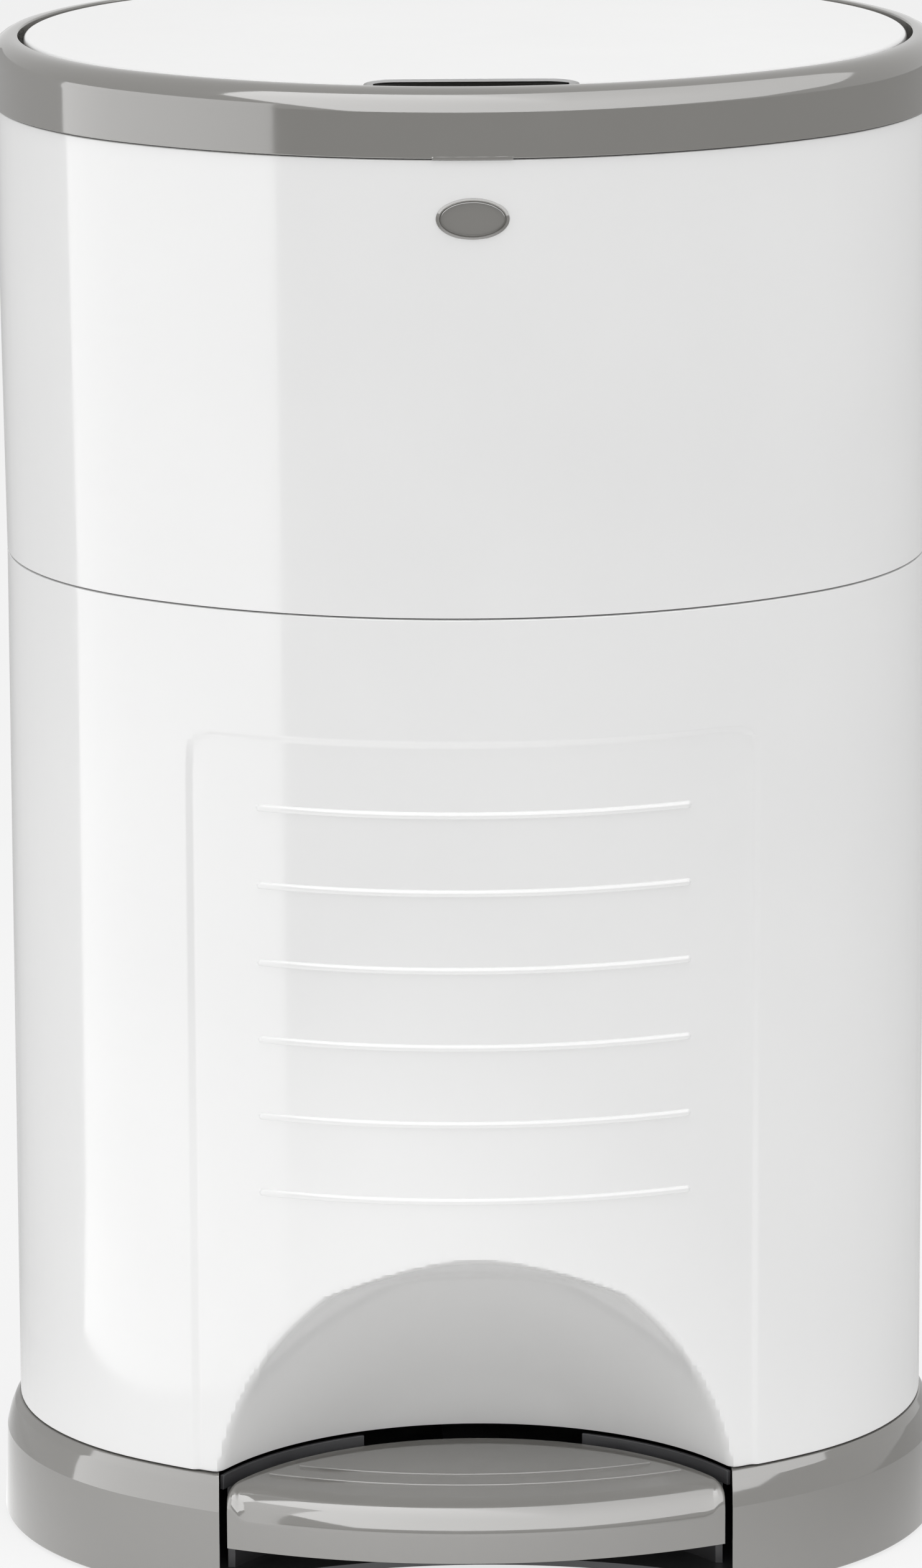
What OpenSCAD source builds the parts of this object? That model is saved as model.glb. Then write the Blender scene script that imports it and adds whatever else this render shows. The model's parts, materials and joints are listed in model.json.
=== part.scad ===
// Pedal nappy bin with a tilting upper body, a lid opened by a pedal and a film refill inside.
// Origin: middle of the footprint on the floor. +X right, +Y to the back, +Z up. Millimetres.
// Every horizontal outline is an oval of four arcs. It is named by its half width, and the
// outlines at all heights are parallel curves, so they share the same four arc centres.

/* [Outline] */
// Half width of the body at the seam between its two shells
body_half_w = 147; // [143:1:153]
// How much smaller the half depth is than the half width
depth_drop = 33; // [32:0.5:34]
// How much the half width grows from that seam up to the rim
flare = 2; // [1:0.25:3]
// How far the base stands out beyond the body at the floor
base_flare = 5.5; // [5:0.25:7]
// How far the rim collar stands out beyond the upper shell
rim_proud = 1; // [0.5:0.25:2]
// How far the foot pads lie in from the outline
foot_inset = 31; // [26:1:34]
// Radius of a foot pad
foot_r = 10; // [8:0.5:12]

/* [Heights] */
// Top of the base above the floor
base_h = 39.4; // [39:0.2:42]
// Height of the base's upright wall, up to its sloped shoulder
base_wall_top = 28.7; // [27:0.2:29.5]
// Height of the lower shell
lower_h = 281.4; // [270:1:300]
// Height of the upper shell
upper_h = 143.4; // [141:0.5:152]
// Height of the rim collar
rim_h = 21; // [20:0.5:23]
// Gap that shows as a dark line between shells
seam = 0.5; // [0.4:0.05:0.8]

/* [Walls and fits] */
// Wall of the two shells and their floors
wall = 2.6; // [2.2:0.1:3]
// Wall of the base ring
base_wall = 3; // [2.6:0.1:3.4]
// Width of the base's top flange, which the lower shell stands on
base_flange = 10; // [9:0.5:11]
// Clearance between pieces that sit inside or beside each other
fit = 0.3; // [0.25:0.05:0.4]
// Clearance between a pin and its bore, on the radius
pin_play = 0.05; // [0.03:0.01:0.08]

/* [Front panel and ribs] */
// Half width of the recessed front panel
panel_half_w = 89; // [80:1:95]
// Depth of that recess
panel_depth = 1; // [0.8:0.1:1.3]
// Distance from the lower shell's top edge down to the panel's top edge
panel_drop = 39.6; // [34:0.5:46]
// Radius of the panel's upper corners
panel_corner_r = 8.5; // [5:0.5:12]
// Number of ribs
rib_count = 6; // [4:1:6]
// Half length of a rib
rib_half_l = 68; // [55:1:74]
// Distance from one rib to the next
rib_pitch = 24.9; // [22:0.1:25.5]
// Height of a rib
rib_h = 2; // [1.5:0.1:3]
// Distance from the panel's top edge down to the first rib
rib_drop = 22.7; // [18:0.1:26]

/* [Toe scoop] */
// Distance of the scoop's centre in front of the body
scoop_ahead = 23; // [20:0.5:26]
// Radius of the scoop at the bottom of the lower shell
scoop_r = 92.6; // [90:0.2:94]
// Radius of the scoop at its crease
scoop_mid_r = 57.8; // [52:0.2:60]
// Height of the crease above the bottom of the lower shell
scoop_mid_h = 59.8; // [55:0.2:64]
// Radius of the scoop where its arch meets the skin
scoop_top_r = 23; // [18:0.5:26]
// How strongly the scoop's walls bulge, where 1 is a straight cone
scoop_bulge = 1.4; // [1:0.1:1.8]
// Height of the arch above the bottom of the lower shell
scoop_arch_h = 75.1; // [72:0.1:80]
// Height of the tip of the scoop above the bottom of the lower shell
scoop_tip_h = 87.1; // [83:0.1:92]

/* [Pedal] */
// Half width of the pedal
pedal_half_w = 79; // [74:0.5:80]
// Gap between the pedal and each side of its cut-out
pedal_gap = 2.5; // [2:0.1:3.5]
// Height of the pedal's lower edge above the floor
pedal_z = 17.5; // [17:0.1:19]
// Height of the pedal
pedal_h = 19; // [17.5:0.1:19.5]
// Radius of the rounding along the pedal's front edge
pedal_round = 7; // [4:0.5:8]
// Gap between the pedal's back edge and the wall behind it
pedal_back_gap = 2.9; // [2.5:0.1:3.5]
// Wall of the pedal cover
pedal_wall = 2.5; // [2:0.1:3]
// Distance of the two grip ridges from the pedal's front edge
ridge_insets = [20.6, 31.6];
// Half length of each grip ridge
ridge_half_l = [65.6, 56];
// Width of a grip ridge
ridge_w = 1.6; // [1:0.1:2]
// Height of a grip ridge
ridge_h = 0.8; // [0.5:0.1:1.2]
// Distance of the pedal's pivot in front of the middle of the bin
pivot_ahead = 40; // [38:0.5:42]
// Height of the pedal's pivot above the floor
pivot_z = 22; // [21:0.1:23]
// Radius of the pedal's pivot pin
pivot_r = 2.5; // [2:0.1:3]

/* [Push rods] */
// Radius of the push rods
rod_r = 4; // [3.5:0.1:4.4]
// Wall of the tubes that guide the rods
guide_wall = 2.6; // [2:0.1:3]
// Height of the middle of the lever's round end
lever_end_z = 14.5; // [14:0.1:15]
// Radius of that round end
lever_end_r = 5; // [4.5:0.1:5.2]

/* [Rear hinge] */
// Radius of the knuckles moulded on the shells
knuckle_r = 2.6; // [2.4:0.05:2.8]
// Radius of the rear hinge pin
hinge_pin_r = 1.2; // [1:0.05:1.3]
// Length of one knuckle
knuckle_l = 16; // [12:0.5:18]

/* [Release button and latch] */
// Width of the button
button_w = 21.3; // [19:0.1:23]
// Height of the button
button_h = 11.9; // [10.5:0.1:13]
// Distance from the upper shell's top edge down to the button's middle
button_drop = 18.2; // [18:0.1:22]
// Gap round the button
button_gap = 0.5; // [0.4:0.05:0.8]
// Thickness of the latch lever
latch_t = 4; // [3:0.1:4.5]
// Distance from the upper shell's front skin back to the latch lever
latch_inset = 12.75; // [12.5:0.05:13.5]
// Half width of the latch lever
latch_half_w = 7; // [6:0.1:7.4]
// Radius of the latch pin
latch_pin_r = 2; // [1.6:0.05:2.2]

/* [Lid] */
// Gap between the lid and the rim's inner edge
lid_gap = 1.8; // [1.5:0.1:2.5]
// Width of the rim's flat and rounded top, from its outer face to its inner edge
rim_top_w = 8.7; // [8:0.1:10]
// Radius of the rim's outer top rounding
rim_round = 5; // [3.5:0.1:6]
// Thickness of the lid plate
lid_t = 2.6; // [2:0.1:3]
// Half width of the finger notch in the lid's front edge
notch_half_w = 31.5; // [26:0.5:35]
// Depth of the finger notch
notch_depth = 10; // [8:0.5:12]
// Radius of the lid hinge's barrel
barrel_r = 3.3; // [3:0.05:3.4]
// Radius of the lid hinge pin
lid_pin_r = 1.5; // [1.2:0.05:1.6]
// Distance from the lid hinge's axis to the middle of the crank's round end
crank_r = 14; // [13:0.1:14.5]

/* [Refill] */
// Radius of the throat that the nappies drop through
throat_r = 52; // [48:0.5:54]
// Distance of the throat's middle in front of the middle of the bin
throat_ahead = 5; // [4:0.5:6]
// Outer radius of the film cassette
cassette_r = 74; // [70:0.5:76]
// Wall of the film cassette
cassette_wall = 2; // [1.6:0.1:2.4]
// Height of the tray above the bottom of the upper shell
tray_rise = 67; // [66:0.5:68]
// Thickness of the tray
tray_t = 3; // [2.5:0.1:3.5]
// Thickness of a trap flap
flap_t = 2; // [1.6:0.1:2.4]

/* [Hidden] */
$fn = 96;

white = "#F2F2F0";
grey = "#9D9C97";
dark = "#3A3A3C";
steel = "#B8BCC0";
blue = "#9FC4D8";

// Arc centres: the end arcs lie at (+-end_c, 0) and the long arcs at (0, +-side_c). The two
// centres of a corner and the origin make a 3-4-5 triangle, which the joints between arcs follow.
unit = depth_drop/2;
end_c = 3*unit;
side_c = 4*unit;
side_extra = 5*unit - end_c;
reach = 4;
arc_lap = 0.01;
far_off = 400;

// Levels
z_lower = base_h + seam;
z_lower_top = z_lower + lower_h;
z_upper = z_lower_top + seam;
z_upper_top = z_upper + upper_h;
z_rim = z_upper_top + seam;
z_top = z_rim + rim_h;
foot_gap = 0.8;
plate_z = 3.8;
plate_t = 2.4;

// Half widths
base_half_w = body_half_w + base_flare;
top_half_w = body_half_w + flare;
rim_half_w = top_half_w + rim_proud;
rim_inner = rim_half_w - rim_top_w;
lid_half_w = rim_inner - lid_gap;
ledge_half_w = body_half_w - 9;
tray_half_w = body_half_w - wall - fit;

// Places
hinge_y = half_depth(body_half_w) + knuckle_r + fit;
hinge_z = z_lower_top + seam/2;
scoop_y = -half_depth(body_half_w) - scoop_ahead;
pedal_back_r = scoop_r - 1.1 - pedal_back_gap;
pivot_y = -pivot_ahead;
panel_top = z_lower_top - panel_drop;
tray_z = z_upper + tray_rise;
tray_top = tray_z + tray_t;
throat_y = -throat_ahead;
button_z = z_upper_top - button_drop;
skin_y = -half_depth(half_w_at(button_z));
latch_front = skin_y + latch_inset;
latch_back = latch_front + latch_t;
latch_z = tray_top + 8.2;
keeper_top = z_lower_top - 4;
keeper_h = 8;
hook_h = 5;
button_stroke = 2.5;
bar_t = 3.5;
bar_y = latch_back + 3;
lid_z = z_top - 0.2;
lid_axis_z = z_top - 3.7;
lid_axis_y = half_depth(lid_half_w) - 7.5;
lid_back = lid_axis_y - 6;
crank_drop = 40;
crank_y = lid_axis_y - crank_r*cos(crank_drop);
crank_z = lid_axis_z - crank_r*sin(crank_drop);
crank_end_r = 2.5;
rod_y = lid_axis_y - crank_r*(1 + cos(crank_drop))/2;
shelf_top = z_top - 10.7;
shelf_t = 2.9;
shelf_z = shelf_top - shelf_t;
shelf_inner = lid_half_w - 12.5;
deck_z = z_upper_top - 15.7;
deck_t = 2.5;
liner_t = 2.4;
liner_top = lid_z - lid_t - fit;
liner_z = liner_top - liner_t;
barrel_half_l = 42;
lid_ear_t = 5;
flap_pin_x = throat_r + 4;
flap_pin_z = tray_z - 8.8;
flap_pin_r = 1.5;
flap_half_l = throat_r + 0.5;
flap_barrel_r = 3;
screw_r = 1.5;
screw_head_r = 3;
screw_head_h = 2.2;

function half_depth(a) = a - depth_drop;
function front_y(a, x) = side_c - sqrt(pow(a + side_extra, 2) - x*x);
function half_w_at(z) = body_half_w + flare*(z - z_upper)/upper_h;
// A point on the oval of half width a, on an end arc, at an angle from the X axis
function end_point(a, angle) = [end_c + (a - end_c)*cos(angle), (a - end_c)*sin(angle)];
function moved(profile, dr) = [for (p = profile) [p[0] == 0 ? 0 : p[0] + dr, p[1]]];
function lowest(profile) = min([for (p = profile) p[1]]) - 1;
function tallest(profile) = max([for (p = profile) p[1]]) + 1;
function ellipse_points(w, h) = [for (i = [0:47]) [w/2*cos(i*7.5), h/2*sin(i*7.5)]];
function arc_points(cx, cz, r, from, to, steps) =
  [for (i = [0:steps]) let (t = from + (to - from)*i/steps) [cx + r*cos(t), cz + r*sin(t)]];

// A profile of [half width, height] points turned about one arc centre
module turned(centre, dr, profile) {
  translate([centre[0], centre[1], 0])
    rotate_extrude()
      polygon(moved(profile, dr));
}

// The same profile along the front or the back long arc alone, as a whole turn
module front_turn(profile) { turned([0, side_c], side_extra, profile); }
module back_turn(profile) { turned([0, -side_c], side_extra, profile); }

// The wedge of the plan that belongs to one arc
module sector(tip, one, other, profile) {
  translate([0, 0, lowest(profile)])
    linear_extrude(height = tallest(profile) - lowest(profile))
      polygon([tip, tip + reach*one, tip + reach*other]);
}

// A profile carried all the way round the oval. A half width of 0 stands for the middle.
// The end arcs reach past the planes where they meet the long arcs by a hair, arc_lap, so that the
// four always grow into one solid.
module oval(profile) {
  for (side = [-1, 1]) {
    intersection() {
      turned([side*end_c, 0], -end_c, profile);
      sector([side*(end_c - arc_lap), 0], [side*end_c, side_c], [side*end_c, -side_c], profile);
    }
    intersection() {
      turned([0, -side*side_c], side_extra, profile);
      sector([0, -side*side_c], [end_c, side*side_c], [-end_c, side*side_c], profile);
    }
  }
}

// A box between two corners
module block(low, high) { translate(low) cube(high - low); }

// A cylinder along X about the point (y, z), from x0 to x1
module bar_x(x0, x1, y, z, r) {
  translate([x0, y, z]) rotate([0, 90, 0]) cylinder(r = r, h = x1 - x0);
}

// A cylinder along Y about the point (x, z), from y0 to y1
module bar_y(y0, y1, x, z, r) {
  translate([x, y0, z]) rotate([-90, 0, 0]) cylinder(r = r, h = y1 - y0);
}

// A cylinder along Z
module post(x, y, z0, z1, r) { translate([x, y, z0]) cylinder(r = r, h = z1 - z0); }

// A prism along X whose outline is given in (y, z)
module prism_x(half_w, outline) {
  translate([-half_w, 0, 0])
    rotate([90, 0, 90])
      linear_extrude(height = 2*half_w)
        polygon(outline);
}

// An ellipse pushed along Y from y0 to y1 at the button's place
module button_prism(w, h, y0, y1) {
  translate([0, y1, button_z])
    rotate([90, 0, 0])
      linear_extrude(height = y1 - y0)
        polygon(ellipse_points(w, h));
}

module at_corners(point) {
  for (x = [-1, 1], y = [-1, 1])
    translate([x*point[0], y*point[1], 0])
      children();
}

module screw(z_head, z_end) {
  z_neck = z_head + (z_end > z_head ? screw_head_h : -screw_head_h);
  post(0, 0, min(z_head, z_neck), max(z_head, z_neck), screw_head_r);
  post(0, 0, min(z_neck, z_end), max(z_neck, z_end), screw_r);
}

// ---- Base ----

base_inner = body_half_w - base_flange;
base_screw = end_point(base_inner + 3.6, 45);
cut_half_w = pedal_half_w + pedal_gap;
cut_back = front_y(base_inner, cut_half_w) + 10;
// The sloped shoulder: how far it stands out beyond the body, at which share of its height
shoulder = [[3.3, 0.42], [1.9, 0.76], [0.3, 1]];
shoulder_h = base_h - base_wall_top;
base_draft = 1;

module base_ring() color(grey) difference() {
  oval(concat(
    [[base_half_w, foot_gap], [base_half_w - base_draft, base_wall_top]],
    [for (p = shoulder) [body_half_w + p[0], base_wall_top + shoulder_h*p[1]]],
    [[base_inner, base_h], [base_inner, base_h - base_wall], [body_half_w - 2, base_h - base_wall],
     [body_half_w, base_h - base_wall - 3.4],
     [base_half_w - base_draft - base_wall, base_wall_top - 1],
     [base_half_w - base_wall, plate_z], [ledge_half_w, plate_z], [ledge_half_w, foot_gap]]
  ));
  block([-cut_half_w, -far_off, -1], [cut_half_w, cut_back, base_h + 1]);
  at_corners(base_screw) post(0, 0, base_h - base_wall - 1, base_h + 1, screw_r + pin_play);
}

module shell_screws() color(steel)
  at_corners(base_screw) screw(base_h - base_wall - screw_head_h, z_lower + wall - 0.6);

plate_cut_r = 158;
plate_front = scoop_y + 57;
ear_x = 22;
ear_t = 5;
ear_r = 7;
lever_slot = 35;

module base_plate() color(dark) {
  difference() {
    union() {
      oval([[0, plate_z], [body_half_w - 2, plate_z], [body_half_w - 2, plate_z + plate_t],
        [0, plate_z + plate_t]]);
      for (side = [-1, 1]) {
        x0 = side < 0 ? -ear_x - ear_t : ear_x;
        block([x0, pivot_y - ear_r, plate_z + 1], [x0 + ear_t, pivot_y + ear_r, pivot_z]);
        bar_x(x0, x0 + ear_t, pivot_y, pivot_z, ear_r);
      }
    }
    post(0, plate_front - plate_cut_r, 0, plate_z + plate_t + 1, plate_cut_r);
    bar_x(-ear_x - ear_t - 1, ear_x + ear_t + 1, pivot_y, pivot_z, pivot_r + pin_play);
  }
  toe_wall();
}

// The low wall behind the pedal, open in the middle where the lever passes
module toe_wall() {
  difference() {
    post(0, scoop_y, plate_z + 1, base_h - 4.4, pedal_back_r + pedal_back_gap + 2);
    post(0, scoop_y, plate_z, base_h, pedal_back_r + pedal_back_gap);
    block([-far_off, -far_off, 0], [far_off, scoop_y + 50, base_h]);
    block([-lever_slot, -far_off, plate_z + plate_t], [lever_slot, 0, base_h]);
  }
}

module foot_pads() color(dark)
  at_corners(end_point(body_half_w - foot_inset, 46)) post(0, 0, 0, plate_z, foot_r);

module pedal_pin() color(steel) {
  bar_x(-ear_x - ear_t - 2, ear_x + ear_t + 2, pivot_y, pivot_z, pivot_r);
  for (x = [-ear_x - ear_t - 2, ear_x + ear_t + 0.4])
    bar_x(x, x + 1.6, pivot_y, pivot_z, pivot_r + 1.5);
}

// ---- Pedal ----

pedal_top = pedal_z + pedal_h;
lever_half_w = 15;

// The pedal's lens-shaped block, drawn in by a wall on its sides
module pedal_blank(inset, z0, z1, corner) {
  a = base_half_w - inset;
  intersection() {
    front_turn(concat([[0, z0], [a, z0]], arc_points(a - corner, z1 - corner, corner, 0, 90, 5),
      [[0, z1]]));
    post(0, scoop_y, z0 - 1, z1 + 1, pedal_back_r - inset);
    block([-pedal_half_w + inset, -far_off, z0 - 1], [pedal_half_w - inset, 0, z1 + 1]);
  }
}

module pedal_cover() color(grey) {
  difference() {
    pedal_blank(0, pedal_z, pedal_top, pedal_round);
    pedal_blank(pedal_wall, pedal_z - 1, pedal_top - pedal_wall, pedal_round - pedal_wall);
    block([-lever_half_w - 1, -far_off/4, pedal_z - 1], [lever_half_w + 1, 0, pedal_top - pedal_wall]);
  }
  for (i = [0:1]) {
    mid = base_half_w - ridge_insets[i];
    intersection() {
      front_turn([[mid - ridge_w/2, pedal_top - 0.4], [mid + ridge_w/2, pedal_top - 0.4],
        [mid + ridge_w/2, pedal_top + ridge_h], [mid - ridge_w/2, pedal_top + ridge_h]]);
      block([-ridge_half_l[i], -far_off, pedal_z], [ridge_half_l[i], 0, base_h + 10]);
    }
  }
}

lever_front = scoop_y + 32;
lever_seat = pedal_top - pedal_wall - fit;

module pedal_lever() color(dark) difference() {
  union() {
    prism_x(lever_half_w, [
      [lever_front, lever_seat - 5], [lever_front, lever_seat], [pivot_y - 20, lever_seat],
      [pivot_y + 2, pivot_z + 6], [pivot_y + 2, pivot_z - 6], [pivot_y - 8, pivot_z - 4]
    ]);
    prism_x(9, [
      [pivot_y, pivot_z + 6], [rod_y, lever_end_z + lever_end_r - 1],
      [rod_y, lever_end_z - lever_end_r + 1], [pivot_y, pivot_z - 6]
    ]);
    bar_x(-ear_x + 0.5, ear_x - 0.5, pivot_y, pivot_z, ear_r - 0.5);
    bar_x(-6, 6, rod_y, lever_end_z, lever_end_r);
  }
  bar_x(-ear_x, ear_x, pivot_y, pivot_z, pivot_r + pin_play);
}

// ---- Push rods ----

rod_bottom = lever_end_z + lever_end_r + fit;
rod_split = z_lower_top + seam/2;
rod_top = crank_z - crank_end_r - fit - 0.2;

module push_rod_lower() color(steel)
  post(0, rod_y, rod_bottom, rod_split - 0.2, rod_r);

module push_rod_upper() color(steel)
  post(0, rod_y, rod_split + 0.2, rod_top, rod_r);

module rod_guide(z0, z1) difference() {
  union() {
    post(0, rod_y, z0, z1, rod_r + fit + guide_wall);
    post(0, rod_y, z0, z0 + 2.5, rod_r + fit + guide_wall + 4);
  }
  post(0, rod_y, z0 - 1, z1 + 1, rod_r + fit);
}

module rod_guide_lower() color(dark) {
  rod_guide(z_lower + wall, z_lower_top - 21);
  block([-1.5, rod_y + rod_r + fit + 1, z_lower + wall],
    [1.5, half_depth(body_half_w - wall) - fit, z_lower_top - 21]);
}

module rod_guide_upper() color(dark) rod_guide(tray_top, deck_z - 11);

// ---- Lower shell ----

// The scoop's wall from one [radius, height] to a higher one, in steps, without the last point
function bulged(low, high, steps) =
  [for (i = [0:steps - 1]) let (share = i/steps)
    [low[0] + (high[0] - low[0])*pow(share, scoop_bulge), low[1] + (high[1] - low[1])*share]];

scoop_foot = [scoop_r, z_lower - 1];
scoop_crease = [scoop_mid_r, z_lower + scoop_mid_h];
scoop_arch = [scoop_top_r, z_lower + scoop_arch_h];
scoop_tip = [0, z_lower + scoop_tip_h];
scoop_side = concat(bulged(scoop_foot, scoop_crease, 5), bulged(scoop_crease, scoop_arch, 3), [scoop_arch]);

// A point of the scoop's side moved out from the face that lies between its two neighbours
function grown(i, grow) =
  let (last = len(scoop_side) - 1,
    along = scoop_side[min(i + 1, last)] - scoop_side[max(i - 1, 0)])
  scoop_side[i] + grow*[along[1], -along[0]]/norm(along);

// The scoop's solid of revolution, made larger by grow
module scoop(grow) {
  translate([0, scoop_y, 0])
    rotate_extrude()
      polygon(concat([[0, scoop_foot[1] - grow]], [[grown(0, grow)[0], scoop_foot[1] - grow]],
        [for (i = [0:len(scoop_side) - 1]) grown(i, grow)], [scoop_tip + [0, grow]]));
}

module panel_outline() {
  low = z_lower - 1;
  inner = panel_half_w - panel_corner_r;
  translate([-panel_half_w, low]) square([2*panel_half_w, panel_top - panel_corner_r - low]);
  translate([-inner, low]) square([2*inner, panel_top - low]);
  for (side = [-1, 1])
    translate([side*inner, panel_top - panel_corner_r]) circle(r = panel_corner_r);
}

// A ring along the front between two half widths
module front_band(a0, a1, z0, z1) {
  front_turn([[a0, z0], [a1, z0], [a1, z1], [a0, z1]]);
}

module ribs() {
  for (i = [0:rib_count - 1]) {
    z = panel_top - rib_drop - i*rib_pitch;
    intersection() {
      front_band(body_half_w - panel_depth - 0.3, body_half_w - 0.1, z - rib_h/2, z + rib_h/2);
      block([-rib_half_l, -far_off, z - rib_h], [rib_half_l, 0, z + rib_h]);
    }
  }
}

// Hinge knuckles at the back, on a web that grows out of the wall
module knuckles(places, z0, z1) difference() {
  for (i = places) {
    x0 = i*(knuckle_l + 0.5) - knuckle_l/2;
    bar_x(x0, x0 + knuckle_l, hinge_y, hinge_z, knuckle_r);
    block([x0, hinge_y - 12, z0], [x0 + knuckle_l, hinge_y, z1]);
  }
  back_turn([[0, z0 - 10], [body_half_w - 1, z0 - 10], [body_half_w - 1, z1 + 10], [0, z1 + 10]]);
  bar_x(-far_off, far_off, hinge_y, hinge_z, hinge_pin_r + pin_play);
}

module lower_shell() color(white) {
  difference() {
    union() {
      oval([[0, z_lower], [body_half_w, z_lower], [body_half_w, z_lower_top],
        [body_half_w - wall, z_lower_top], [body_half_w - wall, z_lower + wall], [0, z_lower + wall]]);
      intersection() {
        scoop(wall);
        front_turn([[0, z_lower], [body_half_w - 1, z_lower], [body_half_w - 1, panel_top], [0, panel_top]]);
      }
    }
    scoop(0);
    intersection() {
      front_band(body_half_w - panel_depth, body_half_w + 5, z_lower - 1, panel_top);
      rotate([90, 0, 0]) linear_extrude(height = far_off) panel_outline();
    }
    post(0, rod_y, z_lower - 1, z_lower + wall + 1, rod_r + fit);
    at_corners(base_screw) post(0, 0, z_lower - 1, z_lower + wall - 0.5, screw_r + pin_play);
  }
  ribs();
  knuckles([-1, 1], z_lower_top - 14, z_lower_top);
}

module hinge_pin() color(steel)
  bar_x(-2.5*knuckle_l - 3, 2.5*knuckle_l + 3, hinge_y, hinge_z, hinge_pin_r);

// Staple on the front wall that the latch hooks under
module latch_keeper() color(dark) {
  y_plate = -half_depth(body_half_w - wall) + 1.5;
  arm = latch_half_w + 2.5;
  block([-20, y_plate, keeper_top - 17], [20, y_plate + 1.7, keeper_top]);
  for (x = [-arm - 3, arm])
    block([x, y_plate + 1, keeper_top - keeper_h], [x + 3, bar_y + bar_t, keeper_top]);
  block([-arm - 1, bar_y, keeper_top - keeper_h], [arm + 1, bar_y + bar_t, keeper_top]);
}

// ---- Upper shell ----

tray_screw = end_point(ledge_half_w + 3.2, 30);

module upper_shell() color(white) {
  difference() {
    union() {
      oval([[body_half_w, z_upper], [top_half_w, z_upper_top], [top_half_w - wall, z_upper_top],
        [body_half_w - wall, z_upper]]);
      oval([[ledge_half_w, tray_z - 3], [body_half_w - 0.5, tray_z - 3], [body_half_w - 0.5, tray_z],
        [ledge_half_w, tray_z]]);
      button_prism(button_w + 8, button_h + 8, skin_y + 1.8, skin_y + 8.5);
    }
    button_prism(button_w + 2*button_gap, button_h + 2*button_gap, skin_y - 10, skin_y + 9);
    button_prism(button_w + 4, button_h + 4, skin_y + wall, skin_y + 9);
    at_corners(tray_screw) post(0, 0, tray_z - 4, tray_z + 1, screw_r + pin_play);
  }
  knuckles([-2, 0, 2], z_upper, z_upper + 14);
}

module release_button() color(grey) {
  button_prism(button_w, button_h, skin_y, skin_y + wall + 1);
  button_prism(button_w + 3, button_h + 3, skin_y + wall + 0.9, skin_y + wall + 2.4);
  bar_y(skin_y + wall + 2, latch_front - fit, 0, button_z, 3);
}

module cassette_tray() color(white) difference() {
  oval([[0, tray_z], [tray_half_w, tray_z], [tray_half_w, tray_top], [0, tray_top]]);
  post(0, throat_y, tray_z - 1, tray_top + 1, throat_r);
  post(0, rod_y, tray_z - 1, tray_top + 1, rod_r + fit);
  block([-latch_half_w - 1.5, latch_front - 4, tray_z - 1],
    [latch_half_w + 1.5, latch_back + 4, tray_top + 1]);
  at_corners(tray_screw) post(0, 0, tray_z - 1, tray_top + 1, screw_r + pin_play);
}

module tray_screws() color(steel)
  at_corners(tray_screw) screw(tray_top + screw_head_h, tray_z - 4);

// ---- Refill ----

cassette_h = deck_z - tray_top - 2;
core_r = throat_r + cassette_wall;

// A ring about the throat's axis
module throat_ring(r0, r1, z0, z1) {
  translate([0, throat_y, 0])
    rotate_extrude()
      polygon([[r0, z0], [r1, z0], [r1, z1], [r0, z1]]);
}

module film_cassette() color(grey) {
  throat_ring(core_r + fit, cassette_r, tray_top, tray_top + cassette_wall);
  throat_ring(cassette_r - cassette_wall, cassette_r, tray_top, tray_top + cassette_h);
}

module cassette_core() color(grey)
  throat_ring(throat_r, core_r, tray_top, tray_top + cassette_h);

module film_pack() color(blue)
  throat_ring(core_r + fit, cassette_r - cassette_wall - fit, tray_top + cassette_wall + fit,
    tray_top + cassette_h - 4);

flap_frame_low = flap_pin_z - 8;
flap_end_t = 3;

module flap_frame() color(grey) difference() {
  union() {
    for (side = [-1, 1]) {
      y0 = throat_y + side*(flap_half_l + 0.5) - (side < 0 ? flap_end_t : 0);
      block([-flap_pin_x - 8, y0, flap_frame_low], [flap_pin_x + 8, y0 + flap_end_t, tray_z]);
      x0 = side*(flap_pin_x + 5) - (side < 0 ? 3 : 0);
      block([x0, throat_y - flap_half_l - 1, flap_frame_low + 8],
        [x0 + 3, throat_y + flap_half_l + 1, tray_z]);
    }
  }
  for (side = [-1, 1])
    bar_y(-far_off, far_off, side*flap_pin_x, flap_pin_z, flap_pin_r + pin_play);
}

module flap_pins() color(steel)
  for (side = [-1, 1])
    bar_y(throat_y - flap_half_l - 5, throat_y + flap_half_l + 5, side*flap_pin_x, flap_pin_z, flap_pin_r);

module flap(side) color(dark) difference() {
  union() {
    x0 = side < 0 ? -flap_pin_x : fit;
    block([x0, throat_y - flap_half_l, flap_pin_z - flap_t/2],
      [x0 + flap_pin_x - fit, throat_y + flap_half_l, flap_pin_z + flap_t/2]);
    bar_y(throat_y - flap_half_l, throat_y + flap_half_l, side*flap_pin_x, flap_pin_z, flap_barrel_r);
  }
  bar_y(-far_off, far_off, side*flap_pin_x, flap_pin_z, flap_pin_r + pin_play);
}

module flap_left() flap(-1);
module flap_right() flap(1);

cutter_y = throat_y - flap_half_l - 26;
cutter_half_l = 25;
cutter_wall = 3;
blade_half_l = 20;

module cutter_housing() color(grey) difference() {
  block([-cutter_half_l, cutter_y - 10, tray_z - 13], [cutter_half_l, cutter_y + 10, tray_z]);
  slot_half_l = cutter_half_l - cutter_wall;
  block([-slot_half_l, cutter_y - 2, tray_z - 14], [slot_half_l, cutter_y + 2, tray_z - 4]);
}

module cutter_blade() color(steel)
  block([-blade_half_l, cutter_y - 0.4, tray_z - 11.5],
    [blade_half_l, cutter_y + 0.4, tray_z - 4 - fit]);

// ---- Latch ----

latch_ear = latch_half_w + 1.8;
latch_mid_y = (latch_front + latch_back)/2;
spring_x0 = 2.5;

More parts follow.
